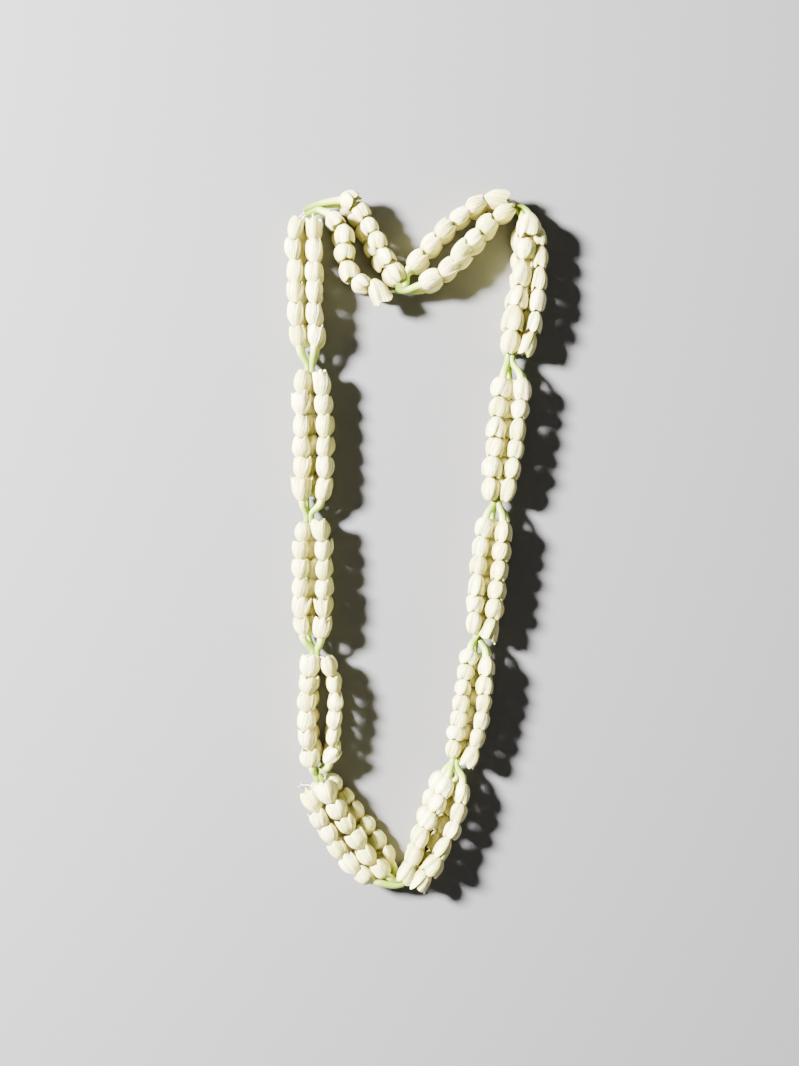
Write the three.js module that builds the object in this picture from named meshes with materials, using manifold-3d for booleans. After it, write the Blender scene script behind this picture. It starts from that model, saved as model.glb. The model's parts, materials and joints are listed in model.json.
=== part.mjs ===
// A fresh jasmine bud lei, laid flat in the long narrow loop in which it hangs. Millimetres, +Z up,
// origin on the surface it lies on, under the middle of its bounding box.
//
// The loop is twelve bunches. A bunch is four short strands of furled buds, two lying on two. Each
// strand's last bud keeps its corolla tube, and the four tubes draw together where the next bunch
// begins. Four runs of thread pass through all the buds and tubes and meet in one knot.

import * as THREE from 'three';
import { mergeVertices } from 'three/addons/utils/BufferGeometryUtils.js';
import Module from 'manifold-3d';

const wasm = await Module();
wasm.setup();

// ---- driving dimensions ----------------------------------------------------------------------

const BUD_RADIUS = 4.7; // the widest part of a furled bud
const BUD_VARIATION = 0.04; // share by which one bud is fatter or thinner than another
const PITCH_VARIATION = 0.05; // share by which a bud is longer or shorter than its neighbours
const BUD_SIDES = 6;
const BELLIES = [[0.3, 0.96], [0.7, 0.97]]; // share of a bud's length, share of its radius there
const NECK_RADIUS = 2.75; // where a bud's petal tips begin to lap over the bud before it
const FIRST_NECK_RADIUS = 2.55; // the same for the first bud of a strand
const TIP = { reach: 1.24, lap: 1.7, firstLap: 1.0 }; // share of the neck's radius, then lengths
const NOTCH = { reach: 0.88, depth: 0.5 }; // between two tips, in the same way
const MOUTH_DEPTH = 0.8; // how far the first bud is open between its tips
const BASE_RADIUS = 2.3; // the bare base of a strand's last bud
const BUD_TURN = 0.45; // how far a bud is turned about its strand, at most, as a share of a side
const NECK_TURN = 0.25; // how far its petal tips are turned on from it, in the same way
const STRAND_GAP = 9.85; // between the middles of two strands that lie against each other
const PRESSED_GAP = 8.0; // the same for the one pair of strands that is pressed together
const UNDER_HEIGHT = 4.2; // the middle of a strand that lies on the surface
const REST_BAND = 0.6; // bud flesh lower than this is pressed flat on the surface
const STRAND_LEAN = 0.25; // share by which a strand's ends are drawn in towards the gatherings

const THREAD_RADIUS = 0.45;
const BORE_RADIUS = 1.05;
const THREAD_SIDES = 3;
const PIECE_GAP = 0.3; // left between a bud and the tube behind it
const TUBE_SHORT = 0.5; // how far short of the gathering the tubes stop
// Shares of a strand's length where its thread bends, for strands that bow up to some millimetres.
const BENDS = [
  { bow: 2.2, shares: [1 / 3, 2 / 3] },
  { bow: 4.5, shares: [0.13, 0.5, 0.87] },
  { bow: Infinity, shares: [0.12, 0.32, 0.5, 0.68, 0.88] },
];
const BOW_SAMPLES = 20;
const SLIVER = 0.03; // corners that joining and cutting leave closer than this are made one
const SAME_PLACE = 1e-5; // corners of two faces that are closer than this are one corner

const TUBE_SIDES = 5;
const TUBE_ROOT_RADIUS = 2.0;
const TUBE_END_RADIUS = 1.5;
const GATHER_HEIGHT = 9.3; // the middle of four gathered tubes
const GATHER_ASIDE = 1.3; // half the spacing of the gathered tubes, side to side
const GATHER_ABOVE = 1.2; // and one above the other

const KNOT_RADIUS = 1.35;
const KNOT_AHEAD = 1.75; // how far past the gathered tubes the knot lies
const KNOT_BUNCH = 4; // the bunch before whose buds the loop is tied

// Where the tubes of the bunch before draw together, and the named bunch begins: its x and y, then
// how far its strands start after that place and stop short of the next, then how far each strand
// lies to the inner side of the straight line between the two, at four places along it.
const BUNCHES = [
  { name: 'left_1', at: [-57.0, 181.8], clear: [7.4, 12.5], strands: {
    outer_upper: [-11.3, -8.9, -8.5, -7.0], inner_upper: [0.5, 1.7, 2.1, 2.9],
    outer_lower: [-10.0, -8.8, -8.0, -6.4], inner_lower: [0.4, 1.3, 2.1, 3.6] } },
  { name: 'left_2', at: [-58.9, 93.0], clear: [2.9, 12.0], strands: {
    outer_upper: [-4.2, -4.1, -3.5, -4.2], inner_upper: [7.4, 8.0, 8.4, 8.4],
    outer_lower: [-2.6, -2.4, -2.0, -2.6], inner_lower: [7.6, 7.9, 8.2, 7.8] } },
  { name: 'left_3', at: [-59.2, 11.5], clear: [2.9, 10.5], strands: {
    outer_upper: [-4.2, -5.4, -6.4, -7.5], inner_upper: [7.2, 7.1, 6.0, 4.6],
    outer_lower: [-2.6, -2.9, -3.7, -4.8], inner_lower: [7.5, 7.2, 6.5, 5.3] } },
  { name: 'left_4', at: [-55.9, -63.4], clear: [2.9, 9.0], strands: {
    outer_upper: [-2.9, -4.8, -5.2, -3.9], inner_upper: [8.6, 10.4, 9.4, 7.6],
    outer_lower: [-2.2, -4.2, -4.6, -3.2], inner_lower: [8.8, 10.0, 9.2, 8.0] } },
  { name: 'left_5', at: [-53.9, -130.6], clear: [5.0, 9.4], strands: {
    outer_upper: [-11.6, -14.2, -15.2, -13.6], inner_upper: [-1.6, -3.0, -4.4, -3.6],
    outer_lower: [-7.8, -8.8, -9.2, -9.2], inner_lower: [3.2, 2.8, 3.2, 2.8] } },
  { name: 'right_5', at: [-9.7, -188.6], clear: [4.4, 10.0], strands: {
    outer_upper: [-11.8, -13.8, -14.2, -11.0], inner_upper: [-1.9, 0.0, -0.3, -0.2],
    outer_lower: [-13.4, -10.4, -8.4, -7.8], inner_lower: [-3.6, 0.0, 1.8, 2.4] } },
  { name: 'right_4', at: [21.7, -120.6], clear: [2.9, 10.0], strands: {
    outer_upper: [-8.4, -9.6, -8.9, -7.4], inner_upper: [2.7, 2.7, 3.7, 3.6],
    outer_lower: [-11.2, -11.4, -11.2, -9.6], inner_lower: [-1.2, -1.4, -1.2, 0.3] } },
  { name: 'right_3', at: [34.1, -52.4], clear: [2.9, 11.5], strands: {
    outer_upper: [-6.4, -6.8, -6.5, -5.7], inner_upper: [4.5, 4.8, 5.4, 5.6],
    outer_lower: [-9.0, -9.2, -9.3, -8.8], inner_lower: [0.9, 0.7, 0.6, 1.1] } },
  { name: 'right_2', at: [44.3, 23.0], clear: [2.9, 12.0], strands: {
    outer_upper: [-6.0, -7.3, -7.8, -8.4], inner_upper: [4.6, 4.2, 4.1, 3.6],
    outer_lower: [-9.3, -9.6, -10.2, -11.2], inner_lower: [0.7, 0.3, -0.3, -1.3] } },
  { name: 'right_1', at: [51.7, 101.1], clear: [3.4, 9.0], strands: {
    outer_upper: [-10.2, -12.7, -13.6, -12.8], inner_upper: [0.2, -1.2, -3.5, -2.9],
    outer_lower: [-9.8, -11.6, -13.6, -12.8], inner_lower: [0.4, -1.4, -3.5, -2.8] } },
  { name: 'top_2', at: [56.4, 182.0], clear: [4.6, 10.0], strands: {
    outer_upper: [-12.8, -15.2, -11.8, -7.2], inner_upper: [-3.0, -0.6, 5.2, 6.8],
    outer_lower: [-12.6, -14.0, -10.6, -6.4], inner_lower: [-2.0, 3.4, 8.0, 9.0] } },
  { name: 'top_1', at: [-9.1, 138.6], clear: [5.0, 8.0], strands: {
    outer_upper: [-5.0, -8.6, -15.4, -17.2], inner_upper: [9.6, 14.0, 5.2, -5.2],
    outer_lower: [-2.4, -5.4, -11.6, -16.6], inner_lower: [9.0, 13.2, 4.8, -5.6] } },
];

// How much sooner a strand starts and how much further it reaches than the others of its bunch.
const LONGER = {
  left_2_outer_upper: [0.5, 2.5],
  left_2_inner_upper: [0.0, 2.0],
  left_3_inner_upper: [0.5, 1.5],
  left_4_outer_upper: [1.0, 3.0],
  left_4_inner_upper: [0.0, 1.5],
  left_5_inner_upper: [-1.0, 2.5],
  right_4_outer_upper: [2.6, 0.0],
  right_4_inner_upper: [0.0, 2.5],
  right_3_outer_upper: [2.0, 0.0],
  right_2_outer_upper: [1.6, 0.0],
  right_2_inner_upper: [1.8, 0.0],
  right_1_inner_upper: [0.0, 3.0],
};

const BUDS_IN_STRAND = 6;
const FULLER_STRAND = 'right_4_inner_upper'; // the one strand with a bud more
const PRESSED_PAIR = 'left_2_inner'; // the upper strand lies pressed into the lower one

// The trimmed thread ends: from the knot, ahead, to the inner side and up.
const TAILS = [
  [[0, 0, 0], [1.2, -4.2, 0.4], [-1.6, -8.0, -2.2], [-3.4, -11.5, -6.4]],
  [[0, 0, 0], [0.6, 2.8, 2.6], [-2.2, 4.0, 4.6], [-6.8, 3.4, 4.4]],
];

// ---- finishes --------------------------------------------------------------------------------

const FINISHES = {
  buds: { color: 0xf0eedb, roughness: 0.52, metalness: 0 },
  tubes: { color: 0xa9b96a, roughness: 0.5, metalness: 0 },
  thread: { color: 0xe9e4d2, roughness: 0.85, metalness: 0 },
};

// ---- helpers ---------------------------------------------------------------------------------

const UP = new THREE.Vector3(0, 0, 1);
const AHEAD = new THREE.Vector3(1, 0, 0);
const INWARD = new THREE.Vector3(0, 1, 0);

/** A steady draw between 0 and 1 for a whole number. */
function draw(number) {
  const wave = Math.sin(number * 12.9898 + 4.1414) * 43758.5453;
  return wave - Math.floor(wave);
}

/** A steady draw between -1 and 1 for a whole number. */
function swing(number) {
  return 2 * draw(number) - 1;
}

/** A place on a route, with the directions along, aside and above it there. */
function station(point, along) {
  const aside = new THREE.Vector3().crossVectors(UP, along).normalize();
  const above = new THREE.Vector3().crossVectors(along, aside).normalize();
  return { point, along, aside, above };
}

/** The stations of a route with straight stretches, mitred at its corners. */
function mitred(points) {
  return points.map((point, n) => {
    const before = points[Math.max(n - 1, 0)];
    const after = points[Math.min(n + 1, points.length - 1)];
    const into = point.clone().sub(before).normalize();
    const out = after.clone().sub(point).normalize();
    return station(point, into.add(out).normalize());
  });
}

/** A turned body bent along a route: one ring a station, each with its radius and turn. */
function turnedAlong(rings, sides) {
  const profile = rings.map((ring, number) => new THREE.Vector2(ring.radius, number));
  const geometry = new THREE.LatheGeometry(profile, sides);
  const corners = geometry.attributes.position;
  const corner = new THREE.Vector3();
  for (let n = 0; n < corners.count; n += 1) {
    const ring = rings[n % rings.length];
    const side = Math.floor(n / rings.length) % sides;
    const turn = ((side + (ring.turn ?? 0)) / sides) * 2 * Math.PI;
    const shape = ring.shape ? ring.shape(side) : { reach: 1, ahead: 0 };
    const { point, along, aside, above } = ring.station;
    corner.copy(point);
    corner.addScaledVector(above, Math.sin(turn) * ring.radius * shape.reach);
    corner.addScaledVector(aside, Math.cos(turn) * ring.radius * shape.reach);
    corner.addScaledVector(along, shape.ahead);
    corners.setXYZ(n, corner.x, corner.y, corner.z);
  }
  return geometry;
}

/** A closed geometry as a solid that can be joined and cut. */
function solidOf(geometry) {
  const bare = geometry.clone();
  bare.deleteAttribute('normal');
  bare.deleteAttribute('uv');
  const merged = mergeVertices(bare, SAME_PLACE);
  const index = merged.index.array;
  const triangles = [];
  for (let n = 0; n < index.length; n += 3) {
    const [a, b, c] = [index[n], index[n + 1], index[n + 2]];
    if (a !== b && b !== c && c !== a) triangles.push(a, b, c);
  }
  return new wasm.Manifold(new wasm.Mesh({
    numProp: 3,
    vertProperties: new Float32Array(merged.attributes.position.array),
    triVerts: new Uint32Array(triangles),
  }));
}

/** The solid's surface as a geometry. */
function geometryOf(solid) {
  const mesh = solid.asOriginal().simplify(SLIVER).getMesh();
  const geometry = new THREE.BufferGeometry();
  geometry.setAttribute('position', new THREE.BufferAttribute(mesh.vertProperties, 3));
  geometry.setIndex(new THREE.BufferAttribute(mesh.triVerts, 1));
  geometry.computeVertexNormals();
  return geometry;
}

/** A named mesh of one finish. */
function piece(name, geometry, finish) {
  const mesh = new THREE.Mesh(geometry, new THREE.MeshStandardMaterial(finish));
  mesh.name = name;
  return mesh;
}

/** A rod of even section with its ends closed, along stations. */
function rod(stations, radii, sides) {
  const rings = stations.map((place, n) => ({ station: place, radius: radii[n] ?? radii[0] }));
  const first = { station: stations[0], radius: 0 };
  const last = { station: stations[stations.length - 1], radius: 0 };
  return solidOf(turnedAlong([first, ...rings, last], sides));
}

// ---- the bunches' places ---------------------------------------------------------------------

const ROLES = ['outer_upper', 'inner_upper', 'outer_lower', 'inner_lower'];

/** The bunch's own frame: x along it, y to its inner side, z up. */
function frameOf(bunch, next) {
  const group = new THREE.Group();
  const [x, y] = bunch.at;
  group.position.set(x, y, 0);
  group.rotation.z = Math.atan2(next.at[1] - y, next.at[0] - x);
  group.updateMatrixWorld(true);
  return group;
}

/** The direction of a bunch in the world. */
function headingOf(frame) {
  return AHEAD.clone().applyQuaternion(frame.quaternion);
}

/** Where the tubes and threads of the four strands pass a gathering, in the world. */
function gatheringAt(number) {
  const [x, y] = BUNCHES[number].at;
  const middle = new THREE.Vector3(x, y, GATHER_HEIGHT);
  const [before, after] = [frames.at(number - 1), frames[number]];
  const along = headingOf(before).add(headingOf(after)).normalize();
  const { aside, above } = station(middle, along);
  const places = { middle, along };
  for (const role of ROLES) {
    places[role] = middle.clone();
    places[role].addScaledVector(aside, role.startsWith('inner') ? GATHER_ASIDE : -GATHER_ASIDE);
    places[role].addScaledVector(above, role.endsWith('upper') ? GATHER_ABOVE : -GATHER_ABOVE);
  }
  return places;
}

const frames = BUNCHES.map((bunch, n) => frameOf(bunch, BUNCHES[(n + 1) % BUNCHES.length]));
const gatherings = BUNCHES.map((bunch, n) => gatheringAt(n));

// ---- the strands' routes ---------------------------------------------------------------------

/** How high an upper strand lies where it rests on the two lower ones. */
function heightOver(strands, role, place) {
  const own = role.replace('upper', 'lower');
  const other = own === 'outer_lower' ? 'inner_lower' : 'outer_lower';
  const heights = [own, other].map((under) => {
    const aside = strands[role][place] - strands[under][place];
    return Math.sqrt(Math.max(STRAND_GAP ** 2 - aside ** 2, 0));
  });
  return UNDER_HEIGHT + Math.max(...heights);
}

/** The smooth route of one strand, in its bunch's frame, from its first petal tips to its last base. */
function routeOf(number, role) {
  const { name, clear, strands } = BUNCHES[number];
  const next = (number + 1) % BUNCHES.length;
  const [ax, ay] = BUNCHES[number].at;
  const [bx, by] = BUNCHES[next].at;
  const length = Math.hypot(bx - ax, by - ay);
  const [sooner, further] = LONGER[`${name}_${role}`] ?? [0, 0];
  const [start, end] = [clear[0] - sooner, length - clear[1] + further];
  const halfBud = (end - start) / (2 * BUDS_IN_STRAND);
  const first = start + halfBud;
  const step = (end - start - 2 * halfBud) / 3;
  const pressed = `${name}_${role}` === `${PRESSED_PAIR}_upper`;
  const across = strands[role];
  const points = across.map((aside, place) => {
    const lies = role.endsWith('upper') ? heightOver(strands, role, place) : UNDER_HEIGHT;
    const height = pressed ? UNDER_HEIGHT + PRESSED_GAP : lies;
    return new THREE.Vector3(first + place * step, aside, height);
  });
  const toStart = frames[number].worldToLocal(gatherings[number][role].clone());
  const toEnd = frames[number].worldToLocal(gatherings[next][role].clone());
  const entry = leaned(points[0], toStart, start);
  const exit = leaned(points[3], toEnd, end);
  return new THREE.CatmullRomCurve3([entry, ...points, exit], false, 'catmullrom');
}

/** The end of a strand, a little drawn in towards the gathering beyond it. */
function leaned(bud, gathering, along) {
  const point = bud.clone().lerp(gathering, STRAND_LEAN);
  point.x = along;
  return point;
}

/** The station at a share of a strand's length, or up to a few millimetres past either end. */
function stationOn(route, share) {
  const held = Math.min(Math.max(share, 0), 1);
  const along = route.getTangentAt(held);
  const beyond = (share - held) * route.getLength();
  return station(route.getPointAt(held).addScaledVector(along, beyond), along);
}

// ---- the buds --------------------------------------------------------------------------------

/** Where each bud of a strand begins, as shares of the strand's length, and where the last ends. */
function budStarts(seed, buds) {
  const starts = [0];
  for (let n = 1; n < buds; n += 1) starts.push((n + PITCH_VARIATION * swing(seed + n)) / buds);
  starts.push(1);
  return starts;
}

/** The pointed rim where a bud's petal tips lap over the bud before it: three tips, three notches. */
function petalTips(isFirst) {
  const tip = { reach: TIP.reach, ahead: isFirst ? -TIP.firstLap : -TIP.lap };
  const notch = { reach: NOTCH.reach, ahead: NOTCH.depth };
  return (side) => (side % 2 === 1 ? tip : notch);
}

/** The rings of one bud. A bud that lies on the surface has a flat side of its rings down. */
function budRings(route, seed, from, to, isFirst, isUnder) {
  const radius = BUD_RADIUS * (1 + BUD_VARIATION * swing(seed + 0.5));
  const turn = isUnder ? 0 : BUD_TURN * swing(seed + 0.25);
  const neck = {
    station: stationOn(route, from),
    radius: isFirst ? FIRST_NECK_RADIUS : NECK_RADIUS,
    turn: turn + NECK_TURN,
    shape: petalTips(isFirst),
  };
  const bellies = BELLIES.map(([share, fullness]) => ({
    station: stationOn(route, from + share * (to - from)),
    radius: radius * fullness,
    turn,
  }));
  return [neck, ...bellies];
}

/** Bud flesh that would lie lower than the surface is pressed flat on it. */
function restOnSurface(geometry) {
  const corners = geometry.attributes.position;
  for (let n = 0; n < corners.count; n += 1) {
    if (corners.getZ(n) < REST_BAND) corners.setZ(n, 0);
  }
}

/** One strand of buds in its bunch's frame, with the bore for its thread. */
function strandOf(number, role, thread) {
  const name = `${BUNCHES[number].name}_${role}`;
  const buds = name === FULLER_STRAND ? BUDS_IN_STRAND + 1 : BUDS_IN_STRAND;
  const route = routes[number][role];
  const seed = 100 * number + 10 * ROLES.indexOf(role);
  const starts = budStarts(seed, buds);
  const depth = MOUTH_DEPTH / route.getLength();
  const rings = [{ station: stationOn(route, depth), radius: 0 }];
  for (let bud = 0; bud < buds; bud += 1) {
    const under = role.endsWith('lower');
    rings.push(...budRings(route, seed + bud, starts[bud], starts[bud + 1], bud === 0, under));
  }
  rings.push({ station: stationOn(route, 1), radius: BASE_RADIUS });
  rings.push({ station: stationOn(route, 1), radius: 0 });
  const geometry = turnedAlong(rings, BUD_SIDES);
  restOnSurface(geometry);
  return solidOf(geometry).subtract(inFrame(rod(thread, [BORE_RADIUS], THREAD_SIDES), number));
}

/** A solid made in the world, moved into a bunch's frame. */
function inFrame(solid, number) {
  return solid.transform(frames[number].matrixWorld.clone().invert().elements);
}

// ---- the thread's route ----------------------------------------------------------------------

const routes = BUNCHES.map((bunch, number) => {
  const made = {};
  for (const role of ROLES) made[role] = routeOf(number, role);
  return made;
});

/** How far a strand's route strays from the straight line between its ends, at most. */
function bowOf(route) {
  const chord = new THREE.Line3(route.getPoint(0), route.getPoint(1));
  const nearest = new THREE.Vector3();
  return Math.max(...route.getPoints(BOW_SAMPLES).map((point) => (
    chord.closestPointToPoint(point, false, nearest).distanceTo(point)
  )));
}

/** The places where a run of thread bends inside one strand: both ends and some between them. */
function bendsIn(number, role) {
  const route = routes[number][role];
  const past = 1 + (0.5 * PIECE_GAP) / route.getLength();
  const between = BENDS.find(({ bow }) => bowOf(route) <= bow).shares;
  return [0, ...between, past].map((share) => (
    frames[number].localToWorld(stationOn(route, share).point)
  ));
}

const knotPlace = gatherings[KNOT_BUNCH].middle.clone();
knotPlace.addScaledVector(headingOf(frames[KNOT_BUNCH]), KNOT_AHEAD);

/** A run of thread through one role's strands, from the knot round to the knot, and its stretches. */
function runOf(role) {
  const points = [knotPlace.clone()];
  const ends = [];
  for (let n = 0; n < BUNCHES.length; n += 1) {
    const number = (KNOT_BUNCH + n) % BUNCHES.length;
    const first = points.length;
    points.push(...bendsIn(number, role));
    ends[number] = [first, points.length - 1];
    points.push(gatherings[(number + 1) % BUNCHES.length][role].clone());
  }
  points.push(knotPlace.clone());
  const stations = mitred(points);
  return {
    stations,
    inStrand: ends.map(([first, last]) => stations.slice(first, last + 1)),
    inTube: ends.map(([, last]) => stations.slice(last, last + 2)),
  };
}

const runs = Object.fromEntries(ROLES.map((role) => [role, runOf(role)]));

/** The knot, the four runs that end in it and its two trimmed tails, as one body. */
function threadSolid() {
  const ball = new THREE.IcosahedronGeometry(KNOT_RADIUS);
  ball.translate(knotPlace.x, knotPlace.y, knotPlace.z);
  let solid = solidOf(ball);
  for (const role of ROLES) solid = solid.add(rod(runs[role].stations, [THREAD_RADIUS], THREAD_SIDES));
  const ahead = headingOf(frames[KNOT_BUNCH]);
  const inner = INWARD.clone().applyQuaternion(frames[KNOT_BUNCH].quaternion);
  for (const tail of TAILS) {
    const points = tail.map(([along, aside, up]) => {
      const point = knotPlace.clone().addScaledVector(ahead, along).addScaledVector(inner, aside);
      return point.addScaledVector(UP, up);
    });
    solid = solid.add(rod(mitred(points), [THREAD_RADIUS], THREAD_SIDES));
  }
  return solid;
}

// ---- the gathered tubes ----------------------------------------------------------------------

/** One corolla tube, from behind its bud to the gathering, with the bore for its thread. */
function tubeSolid(number, role) {
  const thread = runs[role].inTube[number];
  const leaving = stationOn(routes[number][role], 1).along.applyQuaternion(frames[number].quaternion);
  const gathered = gatherings[(number + 1) % BUNCHES.length].along;
  const root = station(thread[0].point.clone().addScaledVector(leaving, 0.5 * PIECE_GAP), leaving);
  const end = station(thread[1].point.clone().addScaledVector(gathered, -TUBE_SHORT), gathered);
  const tube = rod([root, end], [TUBE_ROOT_RADIUS, TUBE_END_RADIUS], TUBE_SIDES);
  return tube.subtract(rod(thread, [BORE_RADIUS], THREAD_SIDES));
}

/** The four tubes of a bunch, which touch where they draw together. */
function tubesOf(number) {
  const tubes = ROLES.map((role) => tubeSolid(number, role));
  return inFrame(wasm.Manifold.union(tubes), number);
}

// ---- the lei ---------------------------------------------------------------------------------

const lei = new THREE.Group();

/** All the strands of a bunch by name. A pair that is pressed together holds as one body. */
function strandsOf(number) {
  const { name } = BUNCHES[number];
  const strands = new Map(ROLES.map((role) => (
    [`${name}_${role}`, strandOf(number, role, runs[role].inStrand[number])]
  )));
  const [upper, lower] = [`${PRESSED_PAIR}_upper`, `${PRESSED_PAIR}_lower`];
  if (strands.has(upper)) {
    strands.set(PRESSED_PAIR, strands.get(upper).add(strands.get(lower)));
    strands.delete(upper);
    strands.delete(lower);
  }
  return strands;
}

BUNCHES.forEach((bunch, number) => {
  for (const [name, solid] of strandsOf(number)) {
    frames[number].add(piece(`${name}_buds`, geometryOf(solid), FINISHES.buds));
  }
  frames[number].add(piece(`${bunch.name}_tubes`, geometryOf(tubesOf(number)), FINISHES.tubes));
  lei.add(frames[number]);
});

lei.add(piece('thread', geometryOf(threadSolid()), FINISHES.thread));

export default lei;
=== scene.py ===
"""The looks of a fresh jasmine bud lei that lies flat in its long narrow loop.

The loop is twelve bunches. A bunch is four short strands of furled buds, two lying on two, and the
corolla tubes of its last buds draw together where the next bunch begins. Sizes are in millimetres and
become metres where a mesh is made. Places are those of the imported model, which the pieces stand for.
"""

import json
import logging
import math
from dataclasses import dataclass, field
from enum import Enum
from typing import Any, Iterable, Sequence

import bpy
import numpy as np
from mathutils import Matrix, Vector

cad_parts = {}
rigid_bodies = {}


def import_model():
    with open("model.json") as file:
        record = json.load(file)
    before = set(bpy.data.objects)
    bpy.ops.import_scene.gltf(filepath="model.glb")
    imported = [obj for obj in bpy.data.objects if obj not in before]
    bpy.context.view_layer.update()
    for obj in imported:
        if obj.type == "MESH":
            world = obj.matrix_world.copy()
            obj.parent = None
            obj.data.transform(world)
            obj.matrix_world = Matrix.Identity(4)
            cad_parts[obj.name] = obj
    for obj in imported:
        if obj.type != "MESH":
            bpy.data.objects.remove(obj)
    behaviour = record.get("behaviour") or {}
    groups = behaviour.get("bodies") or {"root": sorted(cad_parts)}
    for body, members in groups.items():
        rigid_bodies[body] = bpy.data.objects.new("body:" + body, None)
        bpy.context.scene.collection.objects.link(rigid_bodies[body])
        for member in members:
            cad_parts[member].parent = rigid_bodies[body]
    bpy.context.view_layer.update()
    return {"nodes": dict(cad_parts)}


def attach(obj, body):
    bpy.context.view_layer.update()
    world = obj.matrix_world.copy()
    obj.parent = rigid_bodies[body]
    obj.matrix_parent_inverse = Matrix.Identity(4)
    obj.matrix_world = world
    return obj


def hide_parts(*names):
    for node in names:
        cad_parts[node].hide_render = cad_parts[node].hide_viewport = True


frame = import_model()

MM = 0.001
UP = np.array([0.0, 0.0, 1.0])
BODY = "root"
log = logging.getLogger("lei")

# The wave that steady draws are read from, and what is added to a number for each thing drawn.
WAVE_STEP, WAVE_START, WAVE_HEIGHT = 12.9898, 4.1414, 43758.5453
FOR_EDGE, FOR_UNREST, FOR_PETAL_TONE = 0.1, 0.2, 0.4
FOR_GIRTH, FOR_FORM, FOR_FURL, FOR_TONE, FOR_VARIANT, FOR_SWAY = 0.5, 0.6, 0.65, 0.7, 0.8, 0.9
FOR_ASIDE, FOR_RISE = 0.3, 0.6


# ---- small sums ------------------------------------------------------------------------------


def draw(number: float) -> float:
    """A steady draw between 0 and 1 for a number."""
    wave = math.sin(number * WAVE_STEP + WAVE_START) * WAVE_HEIGHT
    return wave - math.floor(wave)


def swing(number: float) -> float:
    """A steady draw between -1 and 1 for a number."""
    return 2 * draw(number) - 1


def seed_of(hundreds: int, tens: int, ones: int = 0) -> int:
    """A number of its own for each choice of three counts, to draw with."""
    return 100 * hundreds + 10 * tens + ones


def unit(vector: np.ndarray) -> np.ndarray:
    """The vector at length one."""
    return vector / np.linalg.norm(vector)


def turned_about(axis: np.ndarray, vector: np.ndarray, degrees: float) -> np.ndarray:
    """The vector turned about an axis."""
    return np.array(Matrix.Rotation(math.radians(degrees), 3, Vector(axis)) @ Vector(vector))


def linear(code: str) -> tuple[float, float, float, float]:
    """A colour as the shader takes it.

    Args:
        code: The colour as six hexadecimal digits, on the curve of an sRGB screen.

    Returns:
        Its linear red, green and blue, and an alpha of one.
    """
    parts = [int(code[n:n + 2], 16) / 255 for n in (0, 2, 4)]
    red, green, blue = [p / 12.92 if p <= 0.04045 else ((p + 0.055) / 1.055) ** 2.4 for p in parts]
    return red, green, blue, 1.0


# ---- where everything lies -------------------------------------------------------------------


class Role(Enum):
    """The four strands of a bunch, by where they lie in it."""

    OUTER_UPPER = "outer_upper"
    INNER_UPPER = "inner_upper"
    OUTER_LOWER = "outer_lower"
    INNER_LOWER = "inner_lower"

    @property
    def is_upper(self) -> bool:
        """True for the two strands that lie on the others."""
        return self.value.endswith("upper")

    @property
    def is_inner(self) -> bool:
        """True for the two strands nearer to the middle of the loop."""
        return self.value.startswith("inner")

    @property
    def place(self) -> int:
        """Its place among the four."""
        return list(Role).index(self)


@dataclass(frozen=True)
class Bunch:
    """Where a bunch begins and how its strands run to the next one.

    The clear lengths are how far its strands start after that place and stop short of the next. Each
    strand has how far it lies to the inner side of the straight line between the two, at four places.
    """

    name: str
    at: tuple[float, float]
    clear: tuple[float, float]
    outer_upper: tuple[float, ...]
    inner_upper: tuple[float, ...]
    outer_lower: tuple[float, ...]
    inner_lower: tuple[float, ...]

    def across(self, role: Role) -> tuple[float, ...]:
        """How far that strand lies to the inner side."""
        return getattr(self, role.value)


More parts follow.
